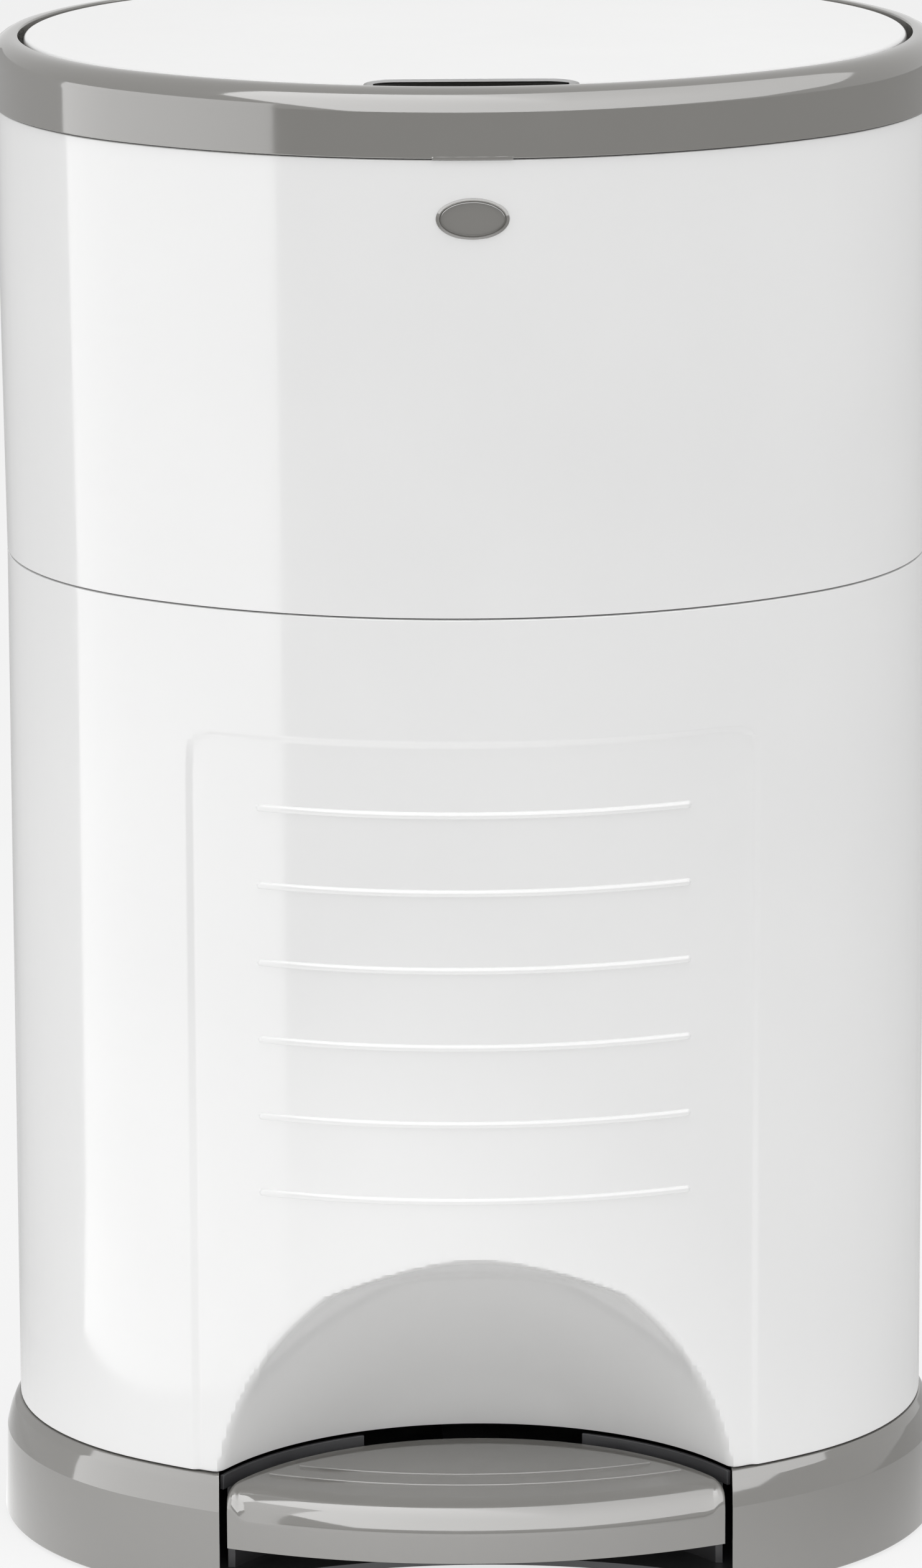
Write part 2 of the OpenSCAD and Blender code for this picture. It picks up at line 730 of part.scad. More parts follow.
module latch_bracket() color(steel) difference() {
  union() {
    for (side = [-1, 1]) {
      x0 = side*latch_ear - (side < 0 ? 3 : 0);
      block([x0, latch_mid_y - 6, tray_top], [x0 + 3, latch_mid_y + 6, latch_z]);
      bar_x(x0, x0 + 3, latch_mid_y, latch_z, 6);
      foot_x = side*latch_ear - (side < 0 ? 11 : 0);
      block([foot_x, latch_mid_y - 6, tray_top], [foot_x + 11, latch_mid_y + 6, tray_top + 2]);
    }
  }
  bar_x(-far_off, far_off, latch_mid_y, latch_z, latch_pin_r + pin_play);
}

module latch_pin() color(steel) {
  bar_x(-latch_ear - 4.5, latch_ear + 4.5, latch_mid_y, latch_z, latch_pin_r);
  bar_x(latch_ear + 3.3, latch_ear + 4.5, latch_mid_y, latch_z, latch_pin_r + 1.5);
}

module latch_lever() color(dark) difference() {
  union() {
    block([-latch_half_w, latch_front, keeper_top - keeper_h - fit - hook_h],
      [latch_half_w, latch_back, button_z + 4]);
    block([-latch_half_w, latch_back - 1, keeper_top - keeper_h - fit - hook_h],
      [latch_half_w, bar_y - fit, keeper_top - keeper_h - fit]);
    bar_x(-latch_half_w, latch_half_w, latch_mid_y, latch_z, latch_pin_r + 2.6);
  }
  bar_x(-far_off, far_off, latch_mid_y, latch_z, latch_pin_r + pin_play);
  block([spring_x0 - 0.5, latch_front - 10, latch_z - 7], [latch_half_w + 1, latch_back + 10, latch_z + 7]);
}

spring_wire = 0.55;
spring_mid_r = latch_pin_r + fit + 2*spring_wire;

// Torsion spring on the latch pin: close turns, one leg down to the bracket, one up the lever
module latch_spring() color(steel) {
  turns = floor((latch_ear - fit - spring_x0 - 2*spring_wire)/1.0);
  for (i = [0:turns])
    translate([spring_x0 + spring_wire + i*1.0, latch_mid_y, latch_z])
      rotate([0, 90, 0])
        rotate_extrude()
          translate([spring_mid_r, 0]) circle(r = spring_wire, $fn = 24);
  post(spring_x0 + spring_wire, latch_mid_y + spring_mid_r, latch_z, latch_z + 13, 0.5);
  post(spring_x0 + spring_wire + turns*1.0, latch_mid_y + spring_mid_r, latch_z - 6, latch_z, 0.5);
}

// ---- Rim, funnel and lid ----

lip_out = top_half_w - wall - fit - 0.1;
lip_h = 7;
lid_ear_x = barrel_half_l + 0.5;
funnel_screw = end_point(shelf_inner + 7, 45);

module rim_collar() color(grey) {
  difference() {
    union() {
      oval(concat(
        [[rim_half_w, z_rim]],
        arc_points(rim_half_w - rim_round, z_top - rim_round, rim_round, 0, 90, 5),
        [[rim_inner, z_top], [rim_inner, shelf_top], [shelf_inner, shelf_top],
         [shelf_inner, shelf_z], [lip_out - 2.7, shelf_z], [lip_out - 2.7, z_rim - lip_h],
         [lip_out, z_rim - lip_h], [lip_out, z_rim]]
      ));
      intersection() {
        back_turn([[0, z_top - 4.5], [rim_inner + 2, z_top - 4.5], [rim_inner + 2, z_top], [0, z_top]]);
        block([-far_off, lid_axis_y + barrel_r + fit + 0.1, z_top - 10], [far_off, far_off, z_top + 1]);
      }
      for (side = [-1, 1]) {
        x0 = side*lid_ear_x - (side < 0 ? lid_ear_t : 0);
        block([x0, lid_axis_y - barrel_r, shelf_top - 1], [x0 + lid_ear_t, lid_axis_y + barrel_r, lid_axis_z]);
        bar_x(x0, x0 + lid_ear_t, lid_axis_y, lid_axis_z, barrel_r);
      }
    }
    bar_x(-lid_ear_x - lid_ear_t - 1, lid_ear_x + lid_ear_t + 1, lid_axis_y, lid_axis_z, lid_pin_r + pin_play);
    at_corners(funnel_screw) post(0, 0, shelf_z - 1, shelf_top - 0.6, screw_r + pin_play);
  }
}

module funnel() color(white) {
  tunnel_x = rod_r + 5;
  tunnel_y = rod_y - rod_r - 6.6;
  difference() {
    union() {
      oval([[0, deck_z], [shelf_inner - 14, deck_z], [shelf_inner + 1.5, shelf_z - deck_t],
        [shelf_inner + 13, shelf_z - deck_t], [shelf_inner + 13, shelf_z], [shelf_inner, shelf_z],
        [shelf_inner - 15.5, deck_z + deck_t], [0, deck_z + deck_t]]);
      intersection() {
        block([-tunnel_x - 2, tunnel_y - 2, deck_z], [tunnel_x + 2, far_off, shelf_z - 2.6]);
        back_turn([[0, deck_z], [shelf_inner - 14, deck_z], [shelf_inner + 1.5, shelf_z - deck_t],
          [0, shelf_z - deck_t]]);
      }
    }
    block([-tunnel_x, tunnel_y, deck_z - 1], [tunnel_x, half_depth(shelf_inner), shelf_z + 1]);
    post(0, throat_y, deck_z - 1, deck_z + deck_t + 1, throat_r + 2);
    at_corners(funnel_screw) post(0, 0, shelf_z - deck_t - 1, shelf_z + 1, screw_r + pin_play);
  }
}

module funnel_screws() color(steel)
  at_corners(funnel_screw) screw(shelf_z - deck_t - screw_head_h, shelf_top - 1);

module lid_hinge_pin() color(steel)
  bar_x(-lid_ear_x - lid_ear_t - 2, lid_ear_x + lid_ear_t + 2, lid_axis_y, lid_axis_z, lid_pin_r);

// The cutter that leaves the finger notch, made larger by grow
module notch(grow) {
  r = (notch_half_w*notch_half_w + notch_depth*notch_depth)/(2*notch_depth);
  post(0, -half_depth(lid_half_w) + notch_depth - r, liner_z - 10, z_top + 5, r + grow);
}

module lid_plate() color(white) difference() {
  union() {
    difference() {
      oval([[0, lid_z - lid_t], [lid_half_w - 2.3, lid_z - lid_t], [lid_half_w - 2.3, lid_z - 7],
        [lid_half_w, lid_z - 7], [lid_half_w, lid_z - 1.5], [lid_half_w - 0.4, lid_z - 0.4],
        [lid_half_w - 1.5, lid_z], [0, lid_z]]);
      block([-far_off, lid_back, lid_z - 20], [far_off, far_off, lid_z + 5]);
      notch(0);
    }
    block([-barrel_half_l, lid_back - 1, lid_z - lid_t], [barrel_half_l, lid_axis_y, lid_axis_z + barrel_r]);
    bar_x(-barrel_half_l, barrel_half_l, lid_axis_y, lid_axis_z, barrel_r);
  }
  bar_x(-far_off, far_off, lid_axis_y, lid_axis_z, lid_pin_r + pin_play);
}

module lid_liner() color(grey) difference() {
  oval([[0, liner_z], [lid_half_w - 2.3 - fit, liner_z], [lid_half_w - 2.3 - fit, liner_top],
    [0, liner_top]]);
  block([-far_off, lid_back - 2.5, liner_z - 1], [far_off, far_off, liner_top + 1]);
  notch(2);
}

module lid_seal() color(dark) difference() {
  oval([[lid_half_w - 10.7, shelf_top + fit], [lid_half_w - 5.5, shelf_top + fit],
    [lid_half_w - 5.5, liner_z], [lid_half_w - 10.7, liner_z]]);
  block([-far_off, lid_back - 5, shelf_top - 1], [far_off, far_off, liner_z + 1]);
}

module lid_crank() color(dark) {
  prism_x(5, [[crank_y - 12, liner_z], [crank_y + 3.6, liner_z], [crank_y + crank_end_r, crank_z],
    [crank_y - crank_end_r, crank_z]]);
  bar_x(-5, 5, crank_y, crank_z, crank_end_r);
}

base_ring();
base_plate();
foot_pads();
shell_screws();
lower_shell();
rod_guide_lower();
latch_keeper();
pedal_pin();
hinge_pin();
pedal_cover();
pedal_lever();
push_rod_lower();
push_rod_upper();
upper_shell();
rim_collar();
cassette_tray();
tray_screws();
film_cassette();
cassette_core();
film_pack();
flap_frame();
flap_pins();
flap_left();
flap_right();
cutter_housing();
cutter_blade();
rod_guide_upper();
latch_bracket();
latch_pin();
latch_spring();
latch_lever();
release_button();
funnel();
funnel_screws();
lid_hinge_pin();
lid_plate();
lid_liner();
lid_seal();
lid_crank();
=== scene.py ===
# %% [markdown]
# # A pedal nappy bin
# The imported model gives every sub-part its place and its movement. This script gives the bin its
# looks: the shells are modelled again with their soft edges, and each finish gets its material.
# Everything is in metres, with the front of the bin facing -Y, and the values below are in mm.

# %% Open the frame
import json
import math

import bpy
from mathutils import Matrix, Vector


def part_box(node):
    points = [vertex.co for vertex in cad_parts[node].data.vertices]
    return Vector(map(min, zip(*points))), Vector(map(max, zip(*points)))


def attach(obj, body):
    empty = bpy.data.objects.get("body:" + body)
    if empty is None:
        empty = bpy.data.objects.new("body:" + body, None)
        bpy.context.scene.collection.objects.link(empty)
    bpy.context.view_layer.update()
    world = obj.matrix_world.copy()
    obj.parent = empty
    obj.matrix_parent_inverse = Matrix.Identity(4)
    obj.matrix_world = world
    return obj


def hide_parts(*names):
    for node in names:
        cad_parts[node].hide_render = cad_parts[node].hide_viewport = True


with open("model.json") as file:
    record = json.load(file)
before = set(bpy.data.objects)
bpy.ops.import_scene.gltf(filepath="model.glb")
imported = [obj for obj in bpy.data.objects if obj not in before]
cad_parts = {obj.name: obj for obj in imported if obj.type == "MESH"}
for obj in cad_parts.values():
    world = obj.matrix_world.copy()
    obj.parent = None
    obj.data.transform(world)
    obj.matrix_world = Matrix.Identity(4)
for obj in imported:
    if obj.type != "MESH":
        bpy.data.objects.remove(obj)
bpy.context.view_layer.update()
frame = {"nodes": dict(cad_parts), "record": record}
MM = 0.001


def span(node):
    """The lowest and the highest corner of a CAD node, in mm."""
    low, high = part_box(node)
    return low/MM, high/MM


def mid_of(node, axis):
    """The middle of a CAD node along X, Y or Z, in mm."""
    low, high = span(node)
    return (low["XYZ".index(axis)] + high["XYZ".index(axis)])/2


# %% [markdown]
# ## Measures
# The bin's plan is an oval of four arcs. Two short arcs turn about points on the X axis and two
# long ones about points on the Y axis, and the arcs meet where the outward direction leans 53
# degrees off X. Outlines at other heights share these centres. So a point on any outline needs
# only a half width and a heading, the direction in which the wall faces there.

# %% Half widths and heights, read from the frame
base_w, lower_w, upper_w, rim_w, lid_w = [
    span(node)[1].x
    for node in ("base_ring", "lower_shell", "upper_shell", "rim_collar", "lid_plate")]
base_top, upper_top, rim_top, lid_top = [
    span(node)[1].z for node in ("base_ring", "upper_shell", "rim_collar", "lid_plate")]
lower_bottom = span("lower_shell")[0].z
seam_gap = lower_bottom - base_top
hinge_y, hinge_z = mid_of("hinge_pin", "Y"), mid_of("hinge_pin", "Z")
lower_top, upper_bottom = hinge_z - seam_gap/2, hinge_z + seam_gap/2
rim_bottom = upper_top + seam_gap
rod_y = mid_of("push_rod_lower", "Y")
tray_z = span("cassette_tray")[0].z
wall = 2.6
print("half widths in mm:", [round(w, 2) for w in (base_w, lower_w, upper_w, rim_w, lid_w)])

# %% The oval
depth_drop = rim_w - span("rim_collar")[1].y
end_c = 3*depth_drop/2
side_c = 2*depth_drop
join = math.degrees(math.atan2(4, 3))
print("oval arc centres at", round(end_c, 2), "and", round(side_c, 2), "mm")


def oval_point(a, heading):
    """The point where the oval of half width a faces the heading, in degrees from +X."""
    out = Vector((math.cos(math.radians(heading)), math.sin(math.radians(heading)), 0))
    if abs(out.x) >= 0.6:
        return Vector((math.copysign(end_c, out.x), 0, 0)) + out*(a - end_c)
    return Vector((0, -math.copysign(side_c, out.y), 0)) + out*(a + depth_drop)


def front_y(a, x):
    """Depth of the oval's front at a place across the bin."""
    return side_c - math.sqrt((a + depth_drop)**2 - x*x)


# %% [markdown]
# ## Tools of the bench
# These few helpers are the moves that come back again and again: select one thing only, select
# faces or edges by where they are, apply a modifier, soften an edge, and cut one piece with
# another. A cutter reaches well past the piece, so its far faces never touch the surface.

# %% Selecting
def only(obj):
    """Makes obj the one selected, active object, in object mode."""
    if bpy.context.object and bpy.context.object.mode != "OBJECT":
        bpy.ops.object.mode_set(mode="OBJECT")
    bpy.ops.object.select_all(action="DESELECT")
    if obj:
        obj.select_set(True)
        bpy.context.view_layer.objects.active = obj
    return obj


def pick(obj, kind, test):
    """Opens obj for editing with just the faces or edges selected that pass the test."""
    only(obj)
    bpy.ops.object.mode_set(mode="EDIT")
    bpy.ops.mesh.select_mode(type="FACE" if kind == "faces" else "EDGE")
    bpy.ops.mesh.select_all(action="DESELECT")
    bpy.ops.object.mode_set(mode="OBJECT")
    mesh = obj.data
    for part in (mesh.polygons if kind == "faces" else mesh.edges):
        part.select = test([mesh.vertices[i].co/MM for i in part.vertices])
    bpy.ops.object.mode_set(mode="EDIT")


def edit_all(obj):
    """Opens obj for editing with all of it selected."""
    only(obj)
    bpy.ops.object.mode_set(mode="EDIT")
    bpy.ops.mesh.select_all(action="SELECT")


weld_gap = 0.001
touching = 0.01


def weld(obj):
    """Merges doubled corners and turns every face outwards."""
    edit_all(obj)
    bpy.ops.mesh.remove_doubles(threshold=weld_gap*MM)
    bpy.ops.mesh.normals_make_consistent(inside=False)
    bpy.ops.object.mode_set(mode="OBJECT")
    return obj


def close_holes(obj):
    """Covers every open loop of edges with a face."""
    only(obj)
    bpy.ops.object.mode_set(mode="EDIT")
    bpy.ops.mesh.select_mode(type="EDGE")
    bpy.ops.mesh.select_all(action="DESELECT")
    bpy.ops.mesh.select_non_manifold(extend=False)
    bpy.ops.mesh.edge_face_add()
    bpy.ops.object.mode_set(mode="OBJECT")
    return weld(obj)


# %% Modifiers, cutting and joining
def finish_with(obj, kind, **settings):
    """Adds a modifier, sets it up and applies it."""
    only(obj)
    modifier = obj.modifiers.new(kind.lower(), kind)
    for name, value in settings.items():
        setattr(modifier, name, value)
    bpy.ops.object.modifier_apply(modifier=modifier.name)


def soften(obj, width, **limits):
    """Rounds all the sharp edges of a piece by a small width, in mm."""
    finish_with(obj, "BEVEL", width=width*MM, segments=2, limit_method="ANGLE", **limits)


def bevel_where(obj, test, width, steps):
    """Bevels just the edges that pass the test."""
    pick(obj, "edges", test)
    bpy.ops.mesh.bevel(offset=width*MM, segments=steps, clamp_overlap=True)
    bpy.ops.object.mode_set(mode="OBJECT")


beyond, above_all = 200, 600


def cut(obj, cutter, operation="DIFFERENCE"):
    """Cuts obj with the cutter, which is then thrown away."""
    finish_with(obj, "BOOLEAN", operation=operation, object=cutter, solver="EXACT")
    bpy.data.objects.remove(cutter)


def joined(pieces):
    """Joins the pieces into the first of them."""
    only(pieces[0])
    for piece in pieces:
        piece.select_set(True)
    bpy.ops.object.join()
    return pieces[0]


def block(name, low, high):
    """A block between two corners, given in mm."""
    only(None)
    middle = (Vector(low) + Vector(high))/2*MM
    bpy.ops.mesh.primitive_cube_add(size=1, location=middle)
    obj = bpy.context.object
    obj.name = name
    obj.scale = (Vector(high) - Vector(low))*MM
    bpy.ops.object.transform_apply(location=True, rotation=True, scale=True)
    return obj


def bar(name, low, high, middle, radius, axis="X", corners=48):
    """A round bar along an axis from low to high; middle is its place on the other two axes."""
    only(None)
    turns = {"X": (0, math.pi/2, 0), "Y": (math.pi/2, 0, 0), "Z": (0, 0, 0)}
    half = (low + high)/2
    place = {"X": (half, *middle), "Y": (middle[0], half, middle[1]), "Z": (*middle, half)}
    bpy.ops.mesh.primitive_cylinder_add(
        vertices=corners, radius=radius*MM, depth=(high - low)*MM,
        location=Vector(place[axis])*MM, rotation=turns[axis])
    obj = bpy.context.object
    obj.name = name
    bpy.ops.object.transform_apply(location=True, rotation=True, scale=True)
    return obj


# %% [markdown]
# ## Sweeping a profile round the oval
# The base, the upper shell, the rim and the lid all have the same oval plan, so each is one
# profile carried round it. A profile is written as its corners, each with a radius, and the
# radius becomes a short arc: that is the mould's own edge rounding, which catches the light.
# The spin operator turns the profile about one arc centre after another.

# %% Profiles with rounded corners
def rounded(corners, steps=4):
    """Turns corners (half width, height, radius) into a closed profile with small arcs."""
    points = []
    for i, (a, z, radius) in enumerate(corners):
        here = Vector((a, z))
        back = (Vector(corners[i - 1][:2]) - here).normalized()
        ahead = (Vector(corners[(i + 1) % len(corners)][:2]) - here).normalized()
        half = math.acos(max(-1, min(1, back.dot(ahead))))/2
        if radius == 0 or half > 1.5:
            points.append(here)
            continue
        middle = here + (back + ahead).normalized()*radius/math.sin(half)
        start = here + back*radius/math.tan(half) - middle
        sweep = start.angle_signed(here + ahead*radius/math.tan(half) - middle)
        for k in range(steps + 1):
            points.append(middle + Matrix.Rotation(-sweep*k/steps, 2)@start)
    return points


# %% The sweep
def sweep_oval(name, profile, long_steps=40, end_steps=48):
    """Carries a closed profile of (half width, height) points round the whole oval."""
    only(None)
    bpy.ops.mesh.primitive_circle_add(vertices=len(profile), radius=0.1)
    obj = bpy.context.object
    obj.name = name
    for corner, (a, z) in zip(obj.data.vertices, profile):
        corner.co = Vector((a, 0, z))*MM
    turns = [
        ((end_c, 0), join, end_steps//2), ((0, side_c), 180 - 2*join, long_steps),
        ((-end_c, 0), 2*join, end_steps), ((0, -side_c), 180 - 2*join, long_steps),
        ((end_c, 0), join, end_steps//2)]
    edit_all(obj)
    for (x, y), angle, steps in turns:
        bpy.ops.mesh.spin(
            steps=steps, angle=math.radians(angle), center=(x*MM, y*MM, 0), axis=(0, 0, 1))
    bpy.ops.object.mode_set(mode="OBJECT")
    weld(obj)
    print(name, "swept with", len(profile), "profile corners")
    return obj


def close_middle(obj, inner):
    """Removes the wall at the innermost half width and covers the two holes that it leaves."""
    pick(obj, "faces", lambda corners: all(c.xy.length < inner + touching for c in corners))
    bpy.ops.mesh.delete(type="FACE")
    return close_holes(obj)


# %% [markdown]
# ## Bending a grid round the oval
# The lower shell has a recessed panel, ribs and a toe scoop in one skin. A plain grid is laid
# round the oval with close rows and columns where the shape is busy, and every corner of it is
# moved in or out by what the mould has there. That keeps the surface smooth, which boolean cuts
# across a curved wall wouldn't.

# %% Grids
def bent_grid(name, columns, rows, place):
    """A grid whose corner at (column, row) goes where place says, in mm."""
    only(None)
    bpy.ops.mesh.primitive_grid_add(
        x_subdivisions=len(columns) - 1, y_subdivisions=len(rows) - 1, size=1)
    obj = bpy.context.object
    obj.name = name
    for i, corner in enumerate(obj.data.vertices):
        corner.co = place(columns[i % len(columns)], rows[i//len(columns)])*MM
    print(name, "laid with", len(columns), "columns and", len(rows), "rows")
    return obj


def spread(start, end, step):
    """Even places from start to end, no further apart than step, without the end."""
    count = max(1, math.ceil(abs(end - start)/step))
    return [start + (end - start)*i/count for i in range(count)]


def smooth_step(value, low, high):
    """Rises softly from 0 at low to 1 at high."""
    t = max(0, min(1, (value - low)/(high - low)))
    return t*t*(3 - 2*t)


def soft_max(one, other, blend):
    """The larger of two values, with a round change-over of the given width."""
    near = max(blend - abs(one - other), 0)/blend
    return max(one, other) + near*near*blend/4


# %% [markdown]
# ## Finishes
# The bin is injection moulded. Its shells are glossy white plastic, the base, pedal and rim a
# glossy warm grey, and the parts inside are a darker satin plastic. Moulded plastic isn't a flat
# colour: it has a faint cloudiness, gloss that changes a little from place to place, and an
# orange peel too fine to see except where a reflection bends. Each of these is a noise texture on
# Object coordinates, so the pattern stays with the piece from every side.

# %% Shader helpers
def add(tree, kind, **settings):
    """Adds a node to a tree and sets its properties."""
    node = tree.nodes.new(kind)
    for name, value in settings.items():
        setattr(node, name, value)
    return node


def mapped(tree, value, low, high, start=0, end=1, **settings):
    """Carries a value that lies between start and end over to between low and high."""
    node = add(tree, "ShaderNodeMapRange", **settings)
    limits = {"From Min": start, "From Max": end, "To Min": low, "To Max": high}
    for name, number in limits.items():
        node.inputs[name].default_value = number
    tree.links.new(value, node.inputs["Value"])
    return node.outputs["Result"]


def noise(tree, coords, scale, detail):
    """A noise texture fed by the given coordinates."""
    node = add(tree, "ShaderNodeTexNoise")
    node.inputs["Scale"].default_value = scale
    node.inputs["Detail"].default_value = detail
    tree.links.new(coords, node.inputs["Vector"])
    return node.outputs["Fac"]


# %% Moulded plastic
# Nearly all of a noise texture's values lie between these two.
noise_middle = (0.3, 0.7)
gloss_scale = 60


def plastic(name, light, deep, gloss, peel, specular=0.5, cloud=9, peel_scale=330):
    """Moulded plastic that drifts between two colours, with a gloss range and an orange peel."""
    material = bpy.data.materials.new(name)
    material.use_nodes = True
    tree = material.node_tree
    shader = tree.nodes["Principled BSDF"]
    coords = add(tree, "ShaderNodeTexCoord").outputs["Object"]
    mix = add(tree, "ShaderNodeMix", data_type="RGBA")
    mix.inputs["A"].default_value = (*light, 1)
    mix.inputs["B"].default_value = (*deep, 1)
    drift = mapped(tree, noise(tree, coords, cloud, 3), 0, 1, *noise_middle)
    tree.links.new(drift, mix.inputs["Factor"])
    tree.links.new(mix.outputs["Result"], shader.inputs["Base Color"])
    roughness = mapped(tree, noise(tree, coords, gloss_scale, 4), *gloss, *noise_middle)
    tree.links.new(roughness, shader.inputs["Roughness"])
    bump = add(tree, "ShaderNodeBump")
    bump.inputs["Strength"].default_value = 1
    bump.inputs["Distance"].default_value = peel*MM
    tree.links.new(noise(tree, coords, peel_scale, 1), bump.inputs["Height"])
    tree.links.new(bump.outputs["Normal"], shader.inputs["Normal"])
    shader.inputs["Specular IOR Level"].default_value = specular
    return material


# %% Steel
steel_shade, steel_grain = 0.86, 9


def brushed_steel(name, colour, gloss):
    """Turned steel: the plastic's recipe made metal, with its grain squeezed along X."""
    material = plastic(name, colour, [c*steel_shade for c in colour], gloss, 0.0015)
    tree = material.node_tree
    tree.nodes["Principled BSDF"].inputs["Metallic"].default_value = 1
    mapping = add(tree, "ShaderNodeMapping")
    mapping.inputs["Scale"].default_value = (steel_grain, 1, 1)
    coords = tree.nodes["Texture Coordinate"].outputs["Object"]
    tree.links.new(coords, mapping.inputs["Vector"])
    bump_source = tree.nodes["Bump"].inputs["Height"].links[0].from_node
    tree.links.new(mapping.outputs["Vector"], bump_source.inputs["Vector"])
    return material


# %% The six finishes
# Each line: name, light and deep colour, lowest and highest roughness, height of the peel in mm.
finishes = {
    "white_shell": plastic(
        "glossy white shell plastic", (0.86, 0.86, 0.857), (0.83, 0.83, 0.828), (0.07, 0.11),
        0.003),
    "grey_trim": plastic(
        "glossy warm grey plastic", (0.205, 0.2, 0.187), (0.192, 0.187, 0.175), (0.06, 0.09), 0.003,
        specular=1),
    "dark_plastic": plastic(
        "satin dark plastic", (0.045, 0.045, 0.048), (0.036, 0.036, 0.039), (0.38, 0.5), 0.02),
    "rubber": plastic(
        "soft grey rubber", (0.08, 0.08, 0.082), (0.062, 0.062, 0.064), (0.6, 0.75), 0.03,
        specular=0.4),
    "steel": brushed_steel("turned steel", (0.56, 0.57, 0.58), (0.2, 0.34)),
    "film": plastic(
        "pleated blue film", (0.36, 0.58, 0.72), (0.27, 0.48, 0.64), (0.22, 0.4), 0.3,
        cloud=30, peel_scale=90),
}
print("finishes:", ", ".join(sorted(finishes)))


# %% Dressing a piece
bodies = frame["record"]["behaviour"]["bodies"]
node_body = {node: body for body, nodes in bodies.items() for node in nodes}


def dress(obj, slot, nodes, angle=35):
    """Smooths a finished piece, gives it its finish and puts it in the place of its CAD nodes.

    The weighted normals keep the wide walls flat, so only the roundings bend a reflection.
    """
    only(obj)
    bpy.ops.object.shade_smooth_by_angle(angle=math.radians(angle))
    finish_with(obj, "WEIGHTED_NORMAL", keep_sharp=True)
    obj.data.materials.clear()
    obj.data.materials.append(finishes[slot])
    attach(obj, node_body[nodes[0]])
    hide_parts(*nodes)
    obj.data.update()
    print(obj.name, "dressed with", len(obj.data.polygons), "faces")


# %% [markdown]
# ## Base ring
# The grey base flares out under the shell. Its wall leans in a little as it rises to a crease,
# and a soft shoulder then rolls in to the shell's foot. It is swept as one profile, and a block
# cuts the opening for the pedal; the cut's edges are bevelled like the mould's.

# %% Base ring profile and sweep
pedal_low, pedal_high = span("pedal_cover")
cut_w = pedal_high.x + 2.5
crease_z, shoulder_z, roll_z = 28.7, 33.2, 36.8
base_inner = lower_w - 10
base_foot, foot_top = span("base_ring")[0].z, 3.8
base_profile = rounded([
    (base_w, base_foot, 0.8), (base_w - 1, crease_z, 0.6), (lower_w + 3.3, shoulder_z, 9),
    (lower_w + 1.9, roll_z, 5), (lower_w + 0.3, base_top, 0.7), (base_inner, base_top, 0),
    (base_inner, base_top - 3, 0), (lower_w - 2, base_top - 3, 0), (lower_w, base_top - 6.4, 0),
    (base_w - 4, crease_z - 1, 0), (base_w - 3, foot_top, 0), (lower_w - 9, foot_top, 0),
    (lower_w - 9, base_foot, 0)])
base_ring = sweep_oval("base_ring_body", base_profile)

# %% Pedal opening
cut_back = front_y(base_inner, cut_w) + 10
cut(base_ring, block("opening", (-cut_w, -beyond, -5), (cut_w, cut_back, base_top + 5)))


def on_opening_edge(corners):
    """True for the two edges where the outer wall and the shoulder meet the opening."""
    on_plane = all(abs(abs(c.x) - cut_w) < touching for c in corners)
    outside = all(c.y < front_y(lower_w - 0.5, c.x) for c in corners)
    return on_plane and outside and all(c.z > base_foot + 0.5 for c in corners)


bevel_where(base_ring, on_opening_edge, 1, 3)
dress(base_ring, "grey_trim", ["base_ring"])

# %% [markdown]
# ## Pedal
# The pedal is a hollow, lens-shaped cover. Its front follows the base, its back the scoop, and a
# wide rounding runs along its front edge. The grid's columns run across the bin and each column
# is one section: up the front, over the rounding, back along the top and down again.

# %% Pedal sections
pedal_z, pedal_top = pedal_low.z, 36.5
pedal_w = pedal_high.x
scoop_y = -(lower_w - depth_drop) - 23
pedal_back_r = 88.6
corner_r, front_round_r, back_round_r = 4, 10.5, 1.2
corner_x = pedal_w - corner_r
pedal_columns = [-math.sin(math.radians(t))*corner_r - corner_x for t in range(90, 0, -10)]
pedal_columns += spread(corner_r - pedal_w, pedal_w - corner_r, 2.5)
pedal_columns += [-x for x in reversed(pedal_columns[:9])]
pedal_columns.insert(len(pedal_columns) - 9, pedal_w - corner_r)
pedal_rows = [("front", 0), ("front", 0.25), ("front", 1)]
pedal_rows += [("round", k/8) for k in range(1, 9)]
pedal_rows += [("top", k/6) for k in range(1, 6)]
pedal_rows += [("back", k/4) for k in range(0, 5)] + [("down", 1)]


def pedal_section(x, row):
    """A corner of the pedal's skin at a place across the bin."""
    part, share = row
    front = front_y(base_w, x)
    back = scoop_y + math.sqrt(pedal_back_r**2 - x*x)
    depth = back - front
    round_r, back_r = min(front_round_r, 0.7*depth), min(back_round_r, 0.2*depth)
    over = max(0, abs(x) - corner_x)
    top = pedal_top - corner_r + math.sqrt(max(0, corner_r**2 - over**2))
    turn = share*math.pi/2
    if part == "front":
        return Vector((x, front, pedal_z + share*(top - round_r - pedal_z)))
    if part == "round":
        y = front + round_r*(1 - math.cos(turn))
        return Vector((x, y, top - round_r + round_r*math.sin(turn)))
    if part == "top":
        return Vector((x, front + round_r + share*(depth - round_r - back_r), top))
    if part == "back":
        y = back - back_r + back_r*math.sin(turn)
        return Vector((x, y, top - back_r + back_r*math.cos(turn)))
    return Vector((x, back, pedal_z))


pedal = bent_grid("pedal_cover_body", pedal_columns, pedal_rows, pedal_section)

# %% Pedal sides and wall
for side in (-1, 1):
    pick(pedal, "edges", lambda corners: all(abs(c.x - side*pedal_w) < touching for c in corners))
    bpy.ops.mesh.edge_face_add()
    bpy.ops.object.mode_set(mode="OBJECT")
weld(pedal)
pedal_wall = 2.5
finish_with(pedal, "SOLIDIFY", thickness=pedal_wall*MM, offset=-1)


